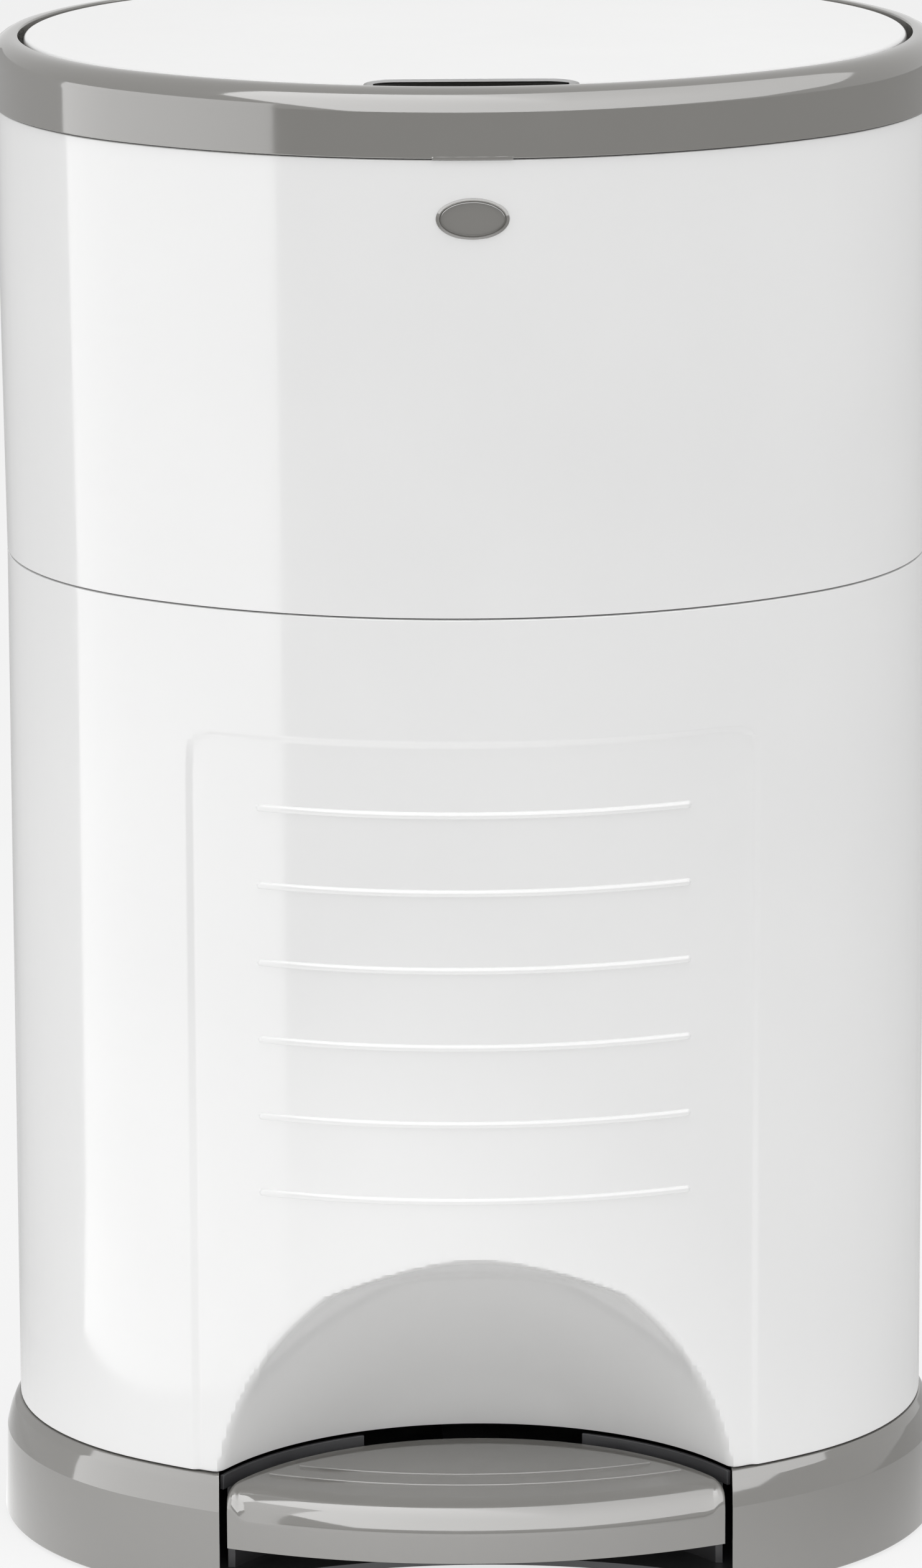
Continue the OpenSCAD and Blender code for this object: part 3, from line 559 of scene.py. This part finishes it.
# %% Grip ridges
def front_bar(name, a0, a1, z0, z1, half_l, radius):
    """A bar that follows the oval's front, with rounded long edges."""
    profile = rounded([(a0, z0, radius), (a1, z0, radius), (a1, z1, radius), (a0, z1, radius)], 3)
    only(None)
    bpy.ops.mesh.primitive_circle_add(vertices=len(profile), radius=0.1)
    obj = bpy.context.object
    obj.name = name
    lean = math.degrees(math.asin(half_l/(a1 + depth_drop)))
    for corner, (half_w, z) in zip(obj.data.vertices, profile):
        place = oval_point(half_w, -90 + lean)
        corner.co = Vector((place.x, place.y, z))*MM
    edit_all(obj)
    bpy.ops.mesh.edge_face_add()
    bpy.ops.mesh.spin(
        steps=40, angle=math.radians(2*lean), center=(0, side_c*MM, 0), axis=(0, 0, 1))
    bpy.ops.object.mode_set(mode="OBJECT")
    return weld(obj)


ridge_w, ridge_sunk, ridge_high = 0.8, 0.6, 0.8
ridges = []
for inset, half_l in ((20.6, 65.6), (31.6, 56)):
    a = base_w - inset
    ridges.append(front_bar(
        "ridge", a - ridge_w, a + ridge_w, pedal_top - ridge_sunk, pedal_top + ridge_high,
        half_l, 0.35))
joined([pedal] + ridges)
dress(pedal, "grey_trim", ["pedal_cover"])

# %% [markdown]
# ## Lower shell
# The tall white shell has a panel set back by 1 mm over most of its front, with six ribs across
# it, and a scoop at its foot that makes room for the toe. The scoop is a bulging wall that turns
# into a flatter cap at a crease. The grid goes up the outside and down the inside in one piece,
# and two faces close the floor.

# %% Panel, ribs and scoop
panel_w, panel_top, panel_r, panel_depth = 89, lower_top - 39.6, 8.5, 1
rib_half_l, rib_r, rib_height = 68, 1.15, 0.9
rib_drop, rib_pitch, rib_count = 22.7, 24.9, 6
rib_levels = [panel_top - rib_drop - rib_pitch*i for i in range(rib_count)]
scoop_r, scoop_mid_r, scoop_top_r = 92.6, 57.8, 23
scoop_low, scoop_mid_z = lower_bottom - 1, lower_bottom + 59.8
scoop_arch_z = lower_bottom + 75.1
wall_straight, wall_bulge, cap_bulge = 0.35, 2.4, 1.2


def panel_inset(x, z):
    """How far the skin is set back at a place on the front."""
    across = abs(x) - (panel_w - panel_r)
    above = z - (panel_top - panel_r)
    outside = math.hypot(max(across, 0), max(above, 0)) + min(max(across, above), 0) - panel_r
    inset = panel_depth*(1 - smooth_step(outside, -1.3, 1.1))
    end = max(abs(x) - (rib_half_l - rib_r), 0)
    off = min(math.hypot(end, z - level) for level in rib_levels)
    return inset - rib_height*math.sqrt(max(0, 1 - (off/rib_r)**2))


def scoop_radius(z, grow=0):
    """Radius of the scoop at a height: a bulging wall up to the crease, then a flatter cap."""
    if z < scoop_mid_z:
        share = max(0, z - scoop_low)/(scoop_mid_z - scoop_low)
        bend = wall_straight*share + (1 - wall_straight)*share**wall_bulge
        return scoop_r + grow - (scoop_r - scoop_mid_r)*bend
    share = (z - scoop_mid_z)/(scoop_arch_z - scoop_mid_z)
    return max(0, scoop_mid_r + grow - (scoop_mid_r - scoop_top_r)*share**cap_bulge)


def scooped(place, grow, blend):
    """Pushes a front point back to the scoop's surface where the scoop has cut in."""
    if place.y < 0:
        radius = scoop_radius(place.z, grow)
        depth = scoop_y + math.sqrt(max(0, radius**2 - place.x**2))
        place.y = soft_max(place.y, depth, blend)
    return place


# %% Rows and columns
def front_headings():
    """Headings across the front, closer together at the panel's sides and the ribs' ends."""
    places = spread(-94, -91, 1.5) + spread(-91, -87, 0.45) + spread(-87, -69, 1.5)
    places += spread(-69, -66, 0.4) + spread(-66, 0, 1.6)
    places += [0] + [-x for x in reversed(places)]
    return [math.degrees(math.asin(x/(lower_w + depth_drop))) - 90 for x in places]


front = front_headings()
headings = front + spread(front[-1], -join, 2)[1:]
headings += spread(-join, join, 2.6) + spread(join, 180 - join, 2)
headings += spread(180 - join, 180 + join, 2.6) + spread(180 + join, 360 + front[0], 2)
headings.append(360 + front[0])

outer_levels = [lower_bottom, lower_bottom + 0.12, lower_bottom + 0.4]
outer_levels += spread(lower_bottom + 0.9, rib_levels[-1] - 3, 1.35)
rib_rows = (-1.3, -1, -0.92, -0.75, -0.4, 0, 0.4, 0.75, 0.92, 1, 1.3)
for level in reversed(rib_levels):
    outer_levels += [level + k*rib_r for k in rib_rows]
    outer_levels += spread(level + 2.5, level + 22, 5)
outer_levels += spread(panel_top - 3, panel_top + 3, 0.5)
outer_levels += spread(panel_top + 3, lower_top - 0.4, 6)
outer_levels += [lower_top - 0.4, lower_top - 0.12, lower_top]
outer_levels = sorted(set(level for level in outer_levels if lower_bottom <= level <= lower_top))
inner_levels = [lower_top] + spread(lower_top - 0.5, scoop_arch_z + 12, 30)
inner_levels += spread(scoop_arch_z + 12, lower_bottom + wall, 3) + [lower_bottom + wall]
shell_rows = [("outer", z) for z in outer_levels] + [("inner", z) for z in inner_levels]


edge_r, panel_reach = 0.4, 95


def lower_skin(heading, row):
    """A corner of the lower shell, outside or inside."""
    side, z = row
    if side == "inner":
        place = oval_point(lower_w - wall, heading)
        return scooped(Vector((place.x, place.y, z)), wall + 0.5, 4)
    edge = max(0, edge_r - (z - lower_bottom), edge_r - (lower_top - z))
    inset = edge_r - math.sqrt(max(0, edge_r**2 - edge*edge))
    place = oval_point(lower_w - inset, heading)
    if place.y < 0 and abs(place.x) < panel_reach:
        place = oval_point(lower_w - inset - panel_inset(place.x, z), heading)
    return scooped(Vector((place.x, place.y, z)), 0, 4.5)


lower_shell = bent_grid("lower_shell_body", headings, shell_rows, lower_skin)

# %% Floor and rod hole
rod_hole_r = 4.3
weld(lower_shell)
close_holes(lower_shell)
hole_low, hole_high = lower_bottom - 2, lower_bottom + wall + 2
cut(lower_shell, bar("rod_hole", hole_low, hole_high, (0, rod_y), rod_hole_r, "Z"))


# %% [markdown]
# ### Hinge knuckles
# The two shells hinge at the back on one pin. Each knuckle is a short barrel on a web that grows
# out of the wall. One knuckle is a prism with a round back, and copies of it stand along the pin.

# %% Knuckles
knuckle_r, knuckle_l, web_h, web_t, pin_hole_r = 2.6, 16, 14, 4.5, 1.25


def knuckle(x, z0, z1):
    """One knuckle: a barrel round the pin and its web on the wall."""
    low, high = x - knuckle_l/2, x + knuckle_l/2
    barrel = bar("knuckle", low, high, (hinge_y, hinge_z), knuckle_r)
    cut(barrel, block("web", (low, hinge_y - web_t, z0), (high, hinge_y, z1)), "UNION")
    cut(barrel, bar("bore", low - 1, high + 1, (hinge_y, hinge_z), pin_hole_r))
    soften(barrel, 0.35)
    return barrel


pitch = knuckle_l + 0.5
lower_knuckles = [knuckle(i*pitch, lower_top - web_h, hinge_z) for i in (-1, 1)]
joined([lower_shell] + lower_knuckles)
dress(lower_shell, "white_shell", ["lower_shell"])

# %% [markdown]
# ## Upper shell
# The upper shell is plain and flares by 2 mm towards the rim. Inside it a ledge carries the tray.
# An oval hole for the release button is cut through its front, and the hole's edge is softened.
# First the shell is bisected into rings round the button. A cut leaves long thin faces behind,
# and the rings keep those close to the hole, so that they don't bend the reflections above it.

# %% Upper shell
ledge_w, ledge_t = lower_w - 9, 3
upper_profile = rounded([
    (lower_w, upper_bottom, 0.4), (upper_w, upper_top, 0.4), (upper_w - wall, upper_top, 0),
    (lower_w - wall + 1, tray_z, 0), (ledge_w, tray_z, 0.4), (ledge_w, tray_z - ledge_t, 0.4),
    (lower_w - wall + 0.9, tray_z - ledge_t, 0), (lower_w - wall, upper_bottom, 0)])
upper_shell = sweep_oval("upper_shell_body", upper_profile, 60, 60)

# %% Button hole
button_low, button_high = span("release_button")
button_w, button_h = 21.3, 11.9
button_z = mid_of("release_button", "Z")
button_y = button_low.y
button_gap = 0.5


def oval_bar(name, w, h, y0, y1):
    """An elliptic bar along Y at the button's place."""
    obj = bar(name, y0, y1, (0, button_z), 1, "Y", 96)
    for corner in obj.data.vertices:
        corner.co.x *= w/2
        corner.co.z = button_z*MM + (corner.co.z - button_z*MM)*h/2
    return obj


hole_w, hole_h = button_w + 2*button_gap, button_h + 2*button_gap
ring_levels = (-14, -10, -7.5, 7.5, 10, 14)
for level in ring_levels:
    pick(upper_shell, "faces", lambda corners: True)
    bpy.ops.mesh.bisect(plane_co=(0, 0, (button_z + level)*MM), plane_no=(0, 0, 1))
    bpy.ops.object.mode_set(mode="OBJECT")
boss = oval_bar("boss", button_w + 8, button_h + 8, button_y + 1.8, button_y + 8.5)
cut(upper_shell, boss, "UNION")
cut(upper_shell, oval_bar("hole", hole_w, hole_h, button_y - 10, button_y + 9))
cut(upper_shell, oval_bar("recess", button_w + 4, button_h + 4, button_y + wall, button_y + 9))


def on_hole_edge(corners):
    """True for the edges where the outer skin meets the button's hole."""
    on_oval = all(
        abs(math.hypot(c.x/hole_w, (c.z - button_z)/hole_h) - 0.5) < touching for c in corners)
    return on_oval and all(c.y < button_y + 0.8 for c in corners)


bevel_where(upper_shell, on_hole_edge, 0.35, 2)
upper_knuckles = [knuckle(i*pitch, hinge_z, upper_bottom + web_h) for i in (-2, 0, 2)]
joined([upper_shell] + upper_knuckles)
dress(upper_shell, "white_shell", ["upper_shell"])

# %% [markdown]
# ## Release button
# The button is an oval of the grey plastic with a narrow bevelled rim and a face that swells very
# slightly. It is a bar along Y whose front is inset and pushed, ring by ring.

# %% Release button
button = oval_bar("release_button_body", button_w, button_h, button_y - 0.1, button_y + wall + 1)
pick(button, "faces", lambda corners: all(c.y < button_y for c in corners))
bpy.ops.mesh.bevel(offset=0.8*MM, segments=3, affect="EDGES")
for step, push in ((0.25, 0.02), (1.2, 0.08), (1.6, 0.05)):
    bpy.ops.mesh.inset(thickness=step*MM, depth=0)
    bpy.ops.transform.translate(value=(0, -push*MM, 0))
bpy.ops.object.mode_set(mode="OBJECT")
inside_y = button_y + wall
flange = oval_bar("flange", button_w + 3, button_h + 3, inside_y + 0.9, inside_y + 2.4)
stem = bar("stem", inside_y + 2, button_high.y, (0, button_z), 3, "Y")
joined([button, flange, stem])
dress(button, "grey_trim", ["release_button"])

# %% [markdown]
# ## Rim collar
# The grey collar caps the upper shell. Its top edge rolls over in a wide radius, and a shelf
# inside it carries the funnel. Behind the lid the opening is closed by a flat deck.

# %% Rim collar
rim_inner = rim_w - 8.7
shelf_top, shelf_z = rim_top - 10.7, rim_top - 13.6
lip_out = upper_w - wall - 0.4
shelf_inner = lid_w - 12.5
rim_round_r, skirt_t, skirt_h = 7, 2.7, 7
rim_profile = rounded([
    (rim_w, rim_bottom, 0.35), (rim_w, rim_top, rim_round_r), (rim_inner, rim_top, 0.6),
    (rim_inner, shelf_top, 0.4), (shelf_inner, shelf_top, 0.5), (shelf_inner, shelf_z, 0.3),
    (lip_out - skirt_t, shelf_z, 0), (lip_out - skirt_t, rim_bottom - skirt_h, 0.3),
    (lip_out, rim_bottom - skirt_h, 0.3), (lip_out, rim_bottom, 0)], 8)
rim = sweep_oval("rim_collar_body", rim_profile)

# %% Rear deck and lid ears
lid_axis_y, lid_axis_z = mid_of("lid_hinge_pin", "Y"), mid_of("lid_hinge_pin", "Z")
barrel_r, barrel_half_l, ear_t, lid_pin_hole_r = 3.3, 42, 5, 1.55
middle_w, deck_t = 60, 4.5
deck_front = lid_axis_y + barrel_r + 0.4
deck = sweep_oval("deck", rounded([
    (middle_w, rim_top, 0), (rim_inner + 2, rim_top, 0), (rim_inner + 2, rim_top - deck_t, 0),
    (middle_w, rim_top - deck_t, 0)]))
close_middle(deck, middle_w)
cut(deck, block("lid_side", (-beyond, -beyond, 0), (beyond, deck_front, above_all)))
soften(deck, 0.5, angle_limit=1)
ears = []
for side in (-1, 1):
    x0 = side*(barrel_half_l + 0.5) - (ear_t if side < 0 else 0)
    x1 = x0 + ear_t
    ear = bar("ear", x0, x1, (lid_axis_y, lid_axis_z), barrel_r)
    foot = block("foot", (x0, lid_axis_y - barrel_r, shelf_top - 1),
                 (x1, lid_axis_y + barrel_r, lid_axis_z))
    cut(ear, foot, "UNION")
    cut(ear, bar("bore", x0 - 1, x1 + 1, (lid_axis_y, lid_axis_z), lid_pin_hole_r))
    soften(ear, 0.3)
    ears.append(ear)
tab = front_bar("tab", rim_w - 0.9, rim_w, rim_bottom - 0.4, rim_bottom + 0.8, 12.4, 0.2)
joined([rim, deck, tab] + ears)
dress(rim, "grey_trim", ["rim_collar"])

# %% [markdown]
# ## Lid
# The white lid is a plate with a short skirt, let into the rim. It is swept like the rest, closed
# in the middle, and cut straight behind the hinge. A flat cutter with round ends leaves the finger
# notch in its front edge, and a pocket under that edge makes it a thin lip to pull. The pocket's
# inside is painted dark as painted shade, where the white lid only lies in shadow. The hinge
# barrel joins it at the back.

# %% Lid
lid_t, lid_skirt_t, lid_skirt_h = 2.6, 2.3, 7
skirt_in = lid_w - lid_skirt_t
lid_profile = rounded([
    (middle_w, lid_top, 0), (lid_w, lid_top, 1.5), (lid_w, lid_top - lid_skirt_h, 0.4),
    (skirt_in, lid_top - lid_skirt_h, 0), (skirt_in, lid_top - lid_t, 0),
    (middle_w, lid_top - lid_t, 0)], 5)
lid = sweep_oval("lid_plate_body", lid_profile, 60, 60)
close_middle(lid, middle_w)
lid_back = lid_axis_y - 6
cut(lid, block("behind", (-beyond, lid_back, 0), (beyond, 1.5*beyond, above_all)))
notch_half_l, notch_r, notch_depth = 23, 10, 13
notch_y = -(lid_w - depth_drop) + notch_depth - notch_r
under_lid, over_lid = lid_top - 20, lid_top + 5
notch = block("notch", (-notch_half_l, -beyond, under_lid),
              (notch_half_l, notch_y + notch_r, over_lid))
for side in (-1, 1):
    end = bar("end", under_lid, over_lid, (side*notch_half_l, notch_y), notch_r, "Z", 96)
    cut(notch, end, "UNION")
cut(lid, notch)


def on_notch_edge(corners):
    """True for the top edge that the notch and the straight back leave."""
    on_notch = all(abs(math.hypot(max(0, abs(c.x) - notch_half_l), c.y - notch_y) - notch_r) < 0.05
                   and c.y > notch_y for c in corners)
    on_back = all(abs(c.y - lid_back) < touching for c in corners)
    return (on_notch or on_back) and all(c.z > lid_top - touching for c in corners)


bevel_where(lid, on_notch_edge, 0.5, 3)

# %% Grip pocket and hinge barrel
grip_half_w, grip_back, lip_t = 30, notch_y + notch_r + 11, 0.9


def grip_pocket():
    """A cutter for the room behind the notch, under its thin lip."""
    return block(
        "grip", (-grip_half_w, -beyond, under_lid), (grip_half_w, grip_back, lid_top - lip_t))


cut(lid, grip_pocket())
barrel = bar("barrel", -barrel_half_l, barrel_half_l, (lid_axis_y, lid_axis_z), barrel_r, "X", 64)
bridge = block("bridge", (-barrel_half_l, lid_back - 0.8, lid_top - lid_t),
               (barrel_half_l, lid_axis_y, lid_axis_z + barrel_r))
cut(barrel, bridge, "UNION")
cut(barrel, bar("bore", -60, 60, (lid_axis_y, lid_axis_z), lid_pin_hole_r))
soften(barrel, 0.25)
joined([lid, barrel])
dress(lid, "white_shell", ["lid_plate"])

# %% Painted shade inside the pocket
# The pocket's faces take the dark plastic as painted shade; the lid there is white plastic in
# shadow.
lid.data.materials.append(finishes["dark_plastic"])
painted_shade_half_w, painted_shade_back = notch_half_l + notch_r + 0.1, grip_back + 0.1
for face in lid.data.polygons:
    corners = [lid.data.vertices[i].co/MM for i in face.vertices]
    inside = all(abs(c.x) < painted_shade_half_w and c.y < painted_shade_back for c in corners)
    if inside and all(c.z < lid_top - lip_t + touching for c in corners):
        face.material_index = 1
print("dark faces in the pocket:", sum(face.material_index for face in lid.data.polygons))

# %% [markdown]
# ## Parts inside
# The tray, the refill, the traps, the latch, the rods and the screws already have their true
# shape in the CAD. What they lack is the small rounding that any moulded or turned part has. So
# each is copied, its doubled corners are merged, its flat faces are joined up, and a bevel
# modifier softens its sharp edges.

# %% Softened copies of the CAD parts
slot_of = {part["node"]: part.get("material_slot") for part in frame["record"]["subparts"]}
done = {"base_ring", "pedal_cover", "lower_shell", "upper_shell", "release_button", "rim_collar",
        "lid_plate"}
usual_edge, flat_angle, sharp_angle = 0.3, 0.5, 40
soft_edge = {
    "latch_spring": 0, "film_pack": 0.8, "funnel": 0.5, "cassette_tray": 0.5, "cutter_blade": 0.05}
for node in sorted(set(frame["nodes"]) - done):
    mesh = frame["nodes"][node].data.copy()
    piece = bpy.data.objects.new(node + "_body", mesh)
    bpy.context.scene.collection.objects.link(piece)
    edit_all(piece)
    bpy.ops.mesh.remove_doubles(threshold=weld_gap*MM)
    bpy.ops.mesh.dissolve_limited(angle_limit=math.radians(flat_angle))
    bpy.ops.object.mode_set(mode="OBJECT")
    if node == "lid_liner":
        cut(piece, grip_pocket())
    width = soft_edge.get(node, usual_edge)
    if width:
        soften(piece, width, angle_limit=math.radians(sharp_angle))
    dress(piece, slot_of[node], [node])

# %% [markdown]
# ## Toe lip
# Behind the pedal, at the foot of the scoop, a dark strip stands a little proud of the toe wall at
# either side. Each strip is one small rectangle spun about the scoop's middle, so it follows the
# wall exactly, and it belongs to the base plate.

# %% Toe lip
toe_wall_r, toe_gap_half_l, toe_half_l = pedal_back_r + 2.9, 35, cut_w - 1.5
lip_low, lip_high, lip_depth = base_top - 5.5, base_top - 0.7, 1.4
lip_corners = ((0, lip_low), (lip_depth, lip_low), (0, lip_high), (lip_depth, lip_high))
toe_lips = []
for side in (-1, 1):
    angles = [math.asin(side*x/toe_wall_r) for x in (toe_gap_half_l, toe_half_l)]
    only(None)
    bpy.ops.mesh.primitive_plane_add(size=1)
    lip = bpy.context.object
    for vertex, (depth, z) in zip(lip.data.vertices, lip_corners):
        r = toe_wall_r + depth
        vertex.co = Vector((r*math.sin(angles[0]), scoop_y + r*math.cos(angles[0]), z))*MM
    edit_all(lip)
    bpy.ops.mesh.spin(
        steps=24, angle=angles[1] - angles[0], center=(0, scoop_y*MM, 0), axis=(0, 0, 1))
    bpy.ops.object.mode_set(mode="OBJECT")
    toe_lips.append(weld(lip))
toe_lip = joined(toe_lips)
toe_lip.name = "toe_lip"
soften(toe_lip, 0.3)
dress(toe_lip, "dark_plastic", ["base_plate"])

# %% [markdown]
# ## Floor
# The bin stands on a white paper sweep. For the camera the paper is white and keeps the bin's
# soft shadow. In reflections and in the light it throws on the bin, a pool of light is painted on
# it as a glow: bright near the bin and dimmer far away, which is why the grey rim looks darker
# than the grey base. So the paper is a mix of matt white and a glow, and the kind of ray decides
# how much of each it shows.

# %% Which rays see the glow
def seen_or_mirrored(tree):
    """1 for what the camera sees directly or in a mirror-like surface, else 0."""
    path = add(tree, "ShaderNodeLightPath")
    larger = add(tree, "ShaderNodeMath", operation="MAXIMUM")
    tree.links.new(path.outputs["Is Camera Ray"], larger.inputs[0])
    tree.links.new(path.outputs["Is Glossy Ray"], larger.inputs[1])
    return larger.outputs[0]


# %% Floor
pool_middle, pool_edge, pool_end = (-0.12, -0.38, 0), 0.12, 0.62
pool_glow, far_glow, seen_glow = 2.9, 0.55, 1
lighting_share, seen_share = 0.14, 0.75
only(None)
bpy.ops.mesh.primitive_plane_add(size=14)
floor = bpy.context.object
floor.name = "floor"
paper = bpy.data.materials.new("white paper sweep")
paper.use_nodes = True
tree = paper.node_tree
tree.nodes.clear()
coords = add(tree, "ShaderNodeTexCoord")
from_pool = add(tree, "ShaderNodeVectorMath", operation="SUBTRACT")
from_pool.inputs[1].default_value = pool_middle
distance = add(tree, "ShaderNodeVectorMath", operation="LENGTH")
tree.links.new(coords.outputs["Object"], from_pool.inputs[0])
tree.links.new(from_pool.outputs["Vector"], distance.inputs[0])
# The painted pool of light: the paper's glow falls from pool_glow near the bin to far_glow far
# away.
painted_pool_glow = mapped(tree, distance.outputs["Value"], pool_glow, far_glow, pool_edge, pool_end,
                 interpolation_type="SMOOTHSTEP")
path = add(tree, "ShaderNodeLightPath")
level = add(tree, "ShaderNodeMix")
tree.links.new(path.outputs["Is Camera Ray"], level.inputs["Factor"])
tree.links.new(painted_pool_glow, level.inputs["A"])
level.inputs["B"].default_value = seen_glow
glow = add(tree, "ShaderNodeEmission")
tree.links.new(level.outputs["Result"], glow.inputs["Strength"])
matte = add(tree, "ShaderNodeBsdfDiffuse")
matte.inputs["Color"].default_value = (0.85, 0.85, 0.85, 1)
share = mapped(tree, seen_or_mirrored(tree), lighting_share, seen_share)
mixed = add(tree, "ShaderNodeMixShader")
tree.links.new(share, mixed.inputs["Fac"])
tree.links.new(matte.outputs["BSDF"], mixed.inputs[1])
tree.links.new(glow.outputs["Emission"], mixed.inputs[2])
output = add(tree, "ShaderNodeOutputMaterial")
tree.links.new(mixed.outputs["Shader"], output.inputs["Surface"])
floor.data.materials.append(paper)
print("paper glows from", pool_glow, "near the bin to", far_glow, "far away")

# %% [markdown]
# ## World and lamps
# A plain white world fills the shadows, and four soft boxes light the bin from above, from the
# front and from both sides, the left one stronger than the right. They stay out of reflections,
# because the cards after them draw those.

# %% World
fill_light, seen_world = 0.56, 1
world = bpy.data.worlds.new("studio")
bpy.context.scene.world = world
world.use_nodes = True
tree = world.node_tree
background = tree.nodes["Background"]
background.inputs["Color"].default_value = (1, 1, 1, 1)
strength = mapped(tree, seen_or_mirrored(tree), fill_light, seen_world)
tree.links.new(strength, background.inputs["Strength"])


# %% Lamps
def soft_box(name, place, target, size, radiance):
    """A rectangular area lamp, seen by neither camera nor mirror; radiance 1 is white."""
    lamp = bpy.data.lights.new(name, "AREA")
    lamp.shape = "RECTANGLE"
    lamp.size, lamp.size_y = size
    lamp.energy = radiance*math.pi*size[0]*size[1]
    obj = bpy.data.objects.new(name, lamp)
    bpy.context.scene.collection.objects.link(obj)
    obj.location = place
    obj.rotation_euler = (Vector(target) - Vector(place)).to_track_quat("-Z", "Y").to_euler()
    obj.visible_camera = False
    obj.visible_glossy = False


soft_box("top box", (0, -0.5, 1.6), (0, 0, 0.2), (1.6, 1.2), 1.25)
soft_box("front box", (0.3, -2.2, 0.9), (0, 0, 0.2), (2, 1.2), 0.65)
soft_box("left box", (-2.1, -0.6, 0.8), (0, 0, 0.3), (1.2, 1.4), 1.4)
soft_box("right box", (2.1, -0.6, 0.8), (0, 0, 0.3), (1.2, 1.4), 1)

# %% [markdown]
# ## Reflector cards
# Glossy plastic shows its surroundings, so cards that only reflections see stand round the bin.
# Those at the left draw the long bright band on the shells and the rim. Their papers, just over
# the floor, carry the band on where a wall mirrors the floor. A large card overhead and in front
# draws the light line along the rim and the base's shoulder. Each is a plain mesh whose glow
# fades from one side to the other along its UV map.

# %% A glowing card
def glowing(obj, start, end):
    """Gives a card a glow from start to end along its U, seen in reflections only."""
    material = bpy.data.materials.new(obj.name)
    material.use_nodes = True
    tree = material.node_tree
    tree.nodes.clear()
    along = add(tree, "ShaderNodeSeparateXYZ")
    tree.links.new(add(tree, "ShaderNodeTexCoord").outputs["UV"], along.inputs[0])
    glow = add(tree, "ShaderNodeEmission")
    tree.links.new(mapped(tree, along.outputs["X"], start, end), glow.inputs["Strength"])
    output = add(tree, "ShaderNodeOutputMaterial")
    tree.links.new(glow.outputs["Emission"], output.inputs["Surface"])
    obj.data.materials.append(material)
    for ray in ("camera", "diffuse", "transmission", "shadow", "volume_scatter"):
        setattr(obj, "visible_" + ray, False)


def card(name, corners, start, end):
    """A flat card with four corners, whose glow goes from its start side to its end side."""
    only(None)
    bpy.ops.mesh.primitive_plane_add(size=1)
    obj = bpy.context.object
    obj.name = name
    for vertex, place in zip(obj.data.vertices, (0, 1, 3, 2)):
        vertex.co = corners[place]
    glowing(obj, start, end)


def upright(start, end, low, high):
    """The corners of an upright card between two places on the floor."""
    return ((*start, low), (*end, low), (*end, high), (*start, high))


def flat(*places):
    """The corners of a card that lies just over the floor."""
    return [(*place, paper_gap) for place in places]


# %% Cards at the left, in metres
# The band's two edges run from where they show on the shell out to the cards.
band_near, band_right = (-0.203, -0.29), (-0.313, -0.42)
band_left, band_back = (-0.56, 0.012), (-0.36, -0.012)
side_far, side_near, back_end = (-0.345, 0.58), (-0.2, 0.24), (-0.05, 0.95)
card_top, back_top, paper_gap = 0.6, 0.42, 0.003
band_glow, side_glow, back_glow = (2.7, 3.7), (1.1, 0.5), (0.5, 0.5)
card("band card", upright(band_right, band_left, 0, card_top), *band_glow)
card("side card", upright(band_left, side_far, 0, card_top), *side_glow)
card("back card", upright(side_far, back_end, 0, back_top), *back_glow)
card("band paper", flat(band_right, band_left, band_back, band_near), *band_glow)
card("side paper", flat(band_left, side_far, side_near, band_back), *side_glow)

# %% Overhead card
# Its corners, as the heading to the right of the front and the height above the horizon.
card_corners = [
    (-23, -2), (-38, 21), (-58, 42), (-85, 68), (-60, 84), (25, 87),
    (100, 80), (118, 55), (108, 38), (85, 20), (60, 4), (20, -2)]
card_middle, card_reach, card_z = (20, 35), 2.5, 0.4
fade_from, fade_width = -60, 170
only(None)
bpy.ops.mesh.primitive_circle_add(
    vertices=len(card_corners), radius=1, fill_type="TRIFAN", calc_uvs=True)
overhead = bpy.context.object
overhead.name = "overhead card"
edge_places = [v.index for v in overhead.data.vertices if v.co.length > 0.5]
share_of = {}
for vertex in overhead.data.vertices:
    at_edge = vertex.index in edge_places
    heading, height = card_corners[edge_places.index(vertex.index)] if at_edge else card_middle
    share_of[vertex.index] = (heading - fade_from)/fade_width
    heading, height = math.radians(heading), math.radians(height)
    reach = card_reach*math.cos(height)
    z = card_z + card_reach*math.sin(height)
    vertex.co = (math.sin(heading)*reach, -math.cos(heading)*reach, z)
for loop, place in zip(overhead.data.loops, overhead.data.uv_layers.active.data):
    place.uv.x = share_of[loop.vertex_index]
glowing(overhead, 5.6, 3)
print("overhead card with", len(card_corners), "corners")

# %% [markdown]
# ## Camera
# The bin is seen from almost three metres away with a long lens, a little from above and almost
# straight on. The camera's three axes are built from its heading, its tilt and a very small roll.
# The view transform is the standard one, so a colour shows as it is written.

# %% Camera
azimuth, elevation, roll = math.radians(-0.997), math.radians(13.752), math.radians(-0.213)
back = Vector((math.sin(azimuth)*math.cos(elevation), -math.cos(azimuth)*math.cos(elevation),
               math.sin(elevation)))
right = Vector((math.cos(azimuth), math.sin(azimuth), 0))
up = back.cross(right)
camera_x = right*math.cos(roll) + up*math.sin(roll)
camera_y = up*math.cos(roll) - right*math.sin(roll)
lens = bpy.data.cameras.new("photo lens")
lens.sensor_width, lens.lens = 36, 207.47
camera = bpy.data.objects.new("photo camera", lens)
bpy.context.scene.collection.objects.link(camera)
camera_place = Vector((-51.437, -2829.171, 934.060))*MM
turned = Matrix((camera_x, camera_y, back)).transposed().to_4x4()
camera.matrix_world = Matrix.Translation(camera_place)@turned
bpy.context.scene.camera = camera
bpy.context.scene.view_settings.view_transform = "Standard"
print("camera", round(camera_place.length, 2), "m from the middle of the footprint")
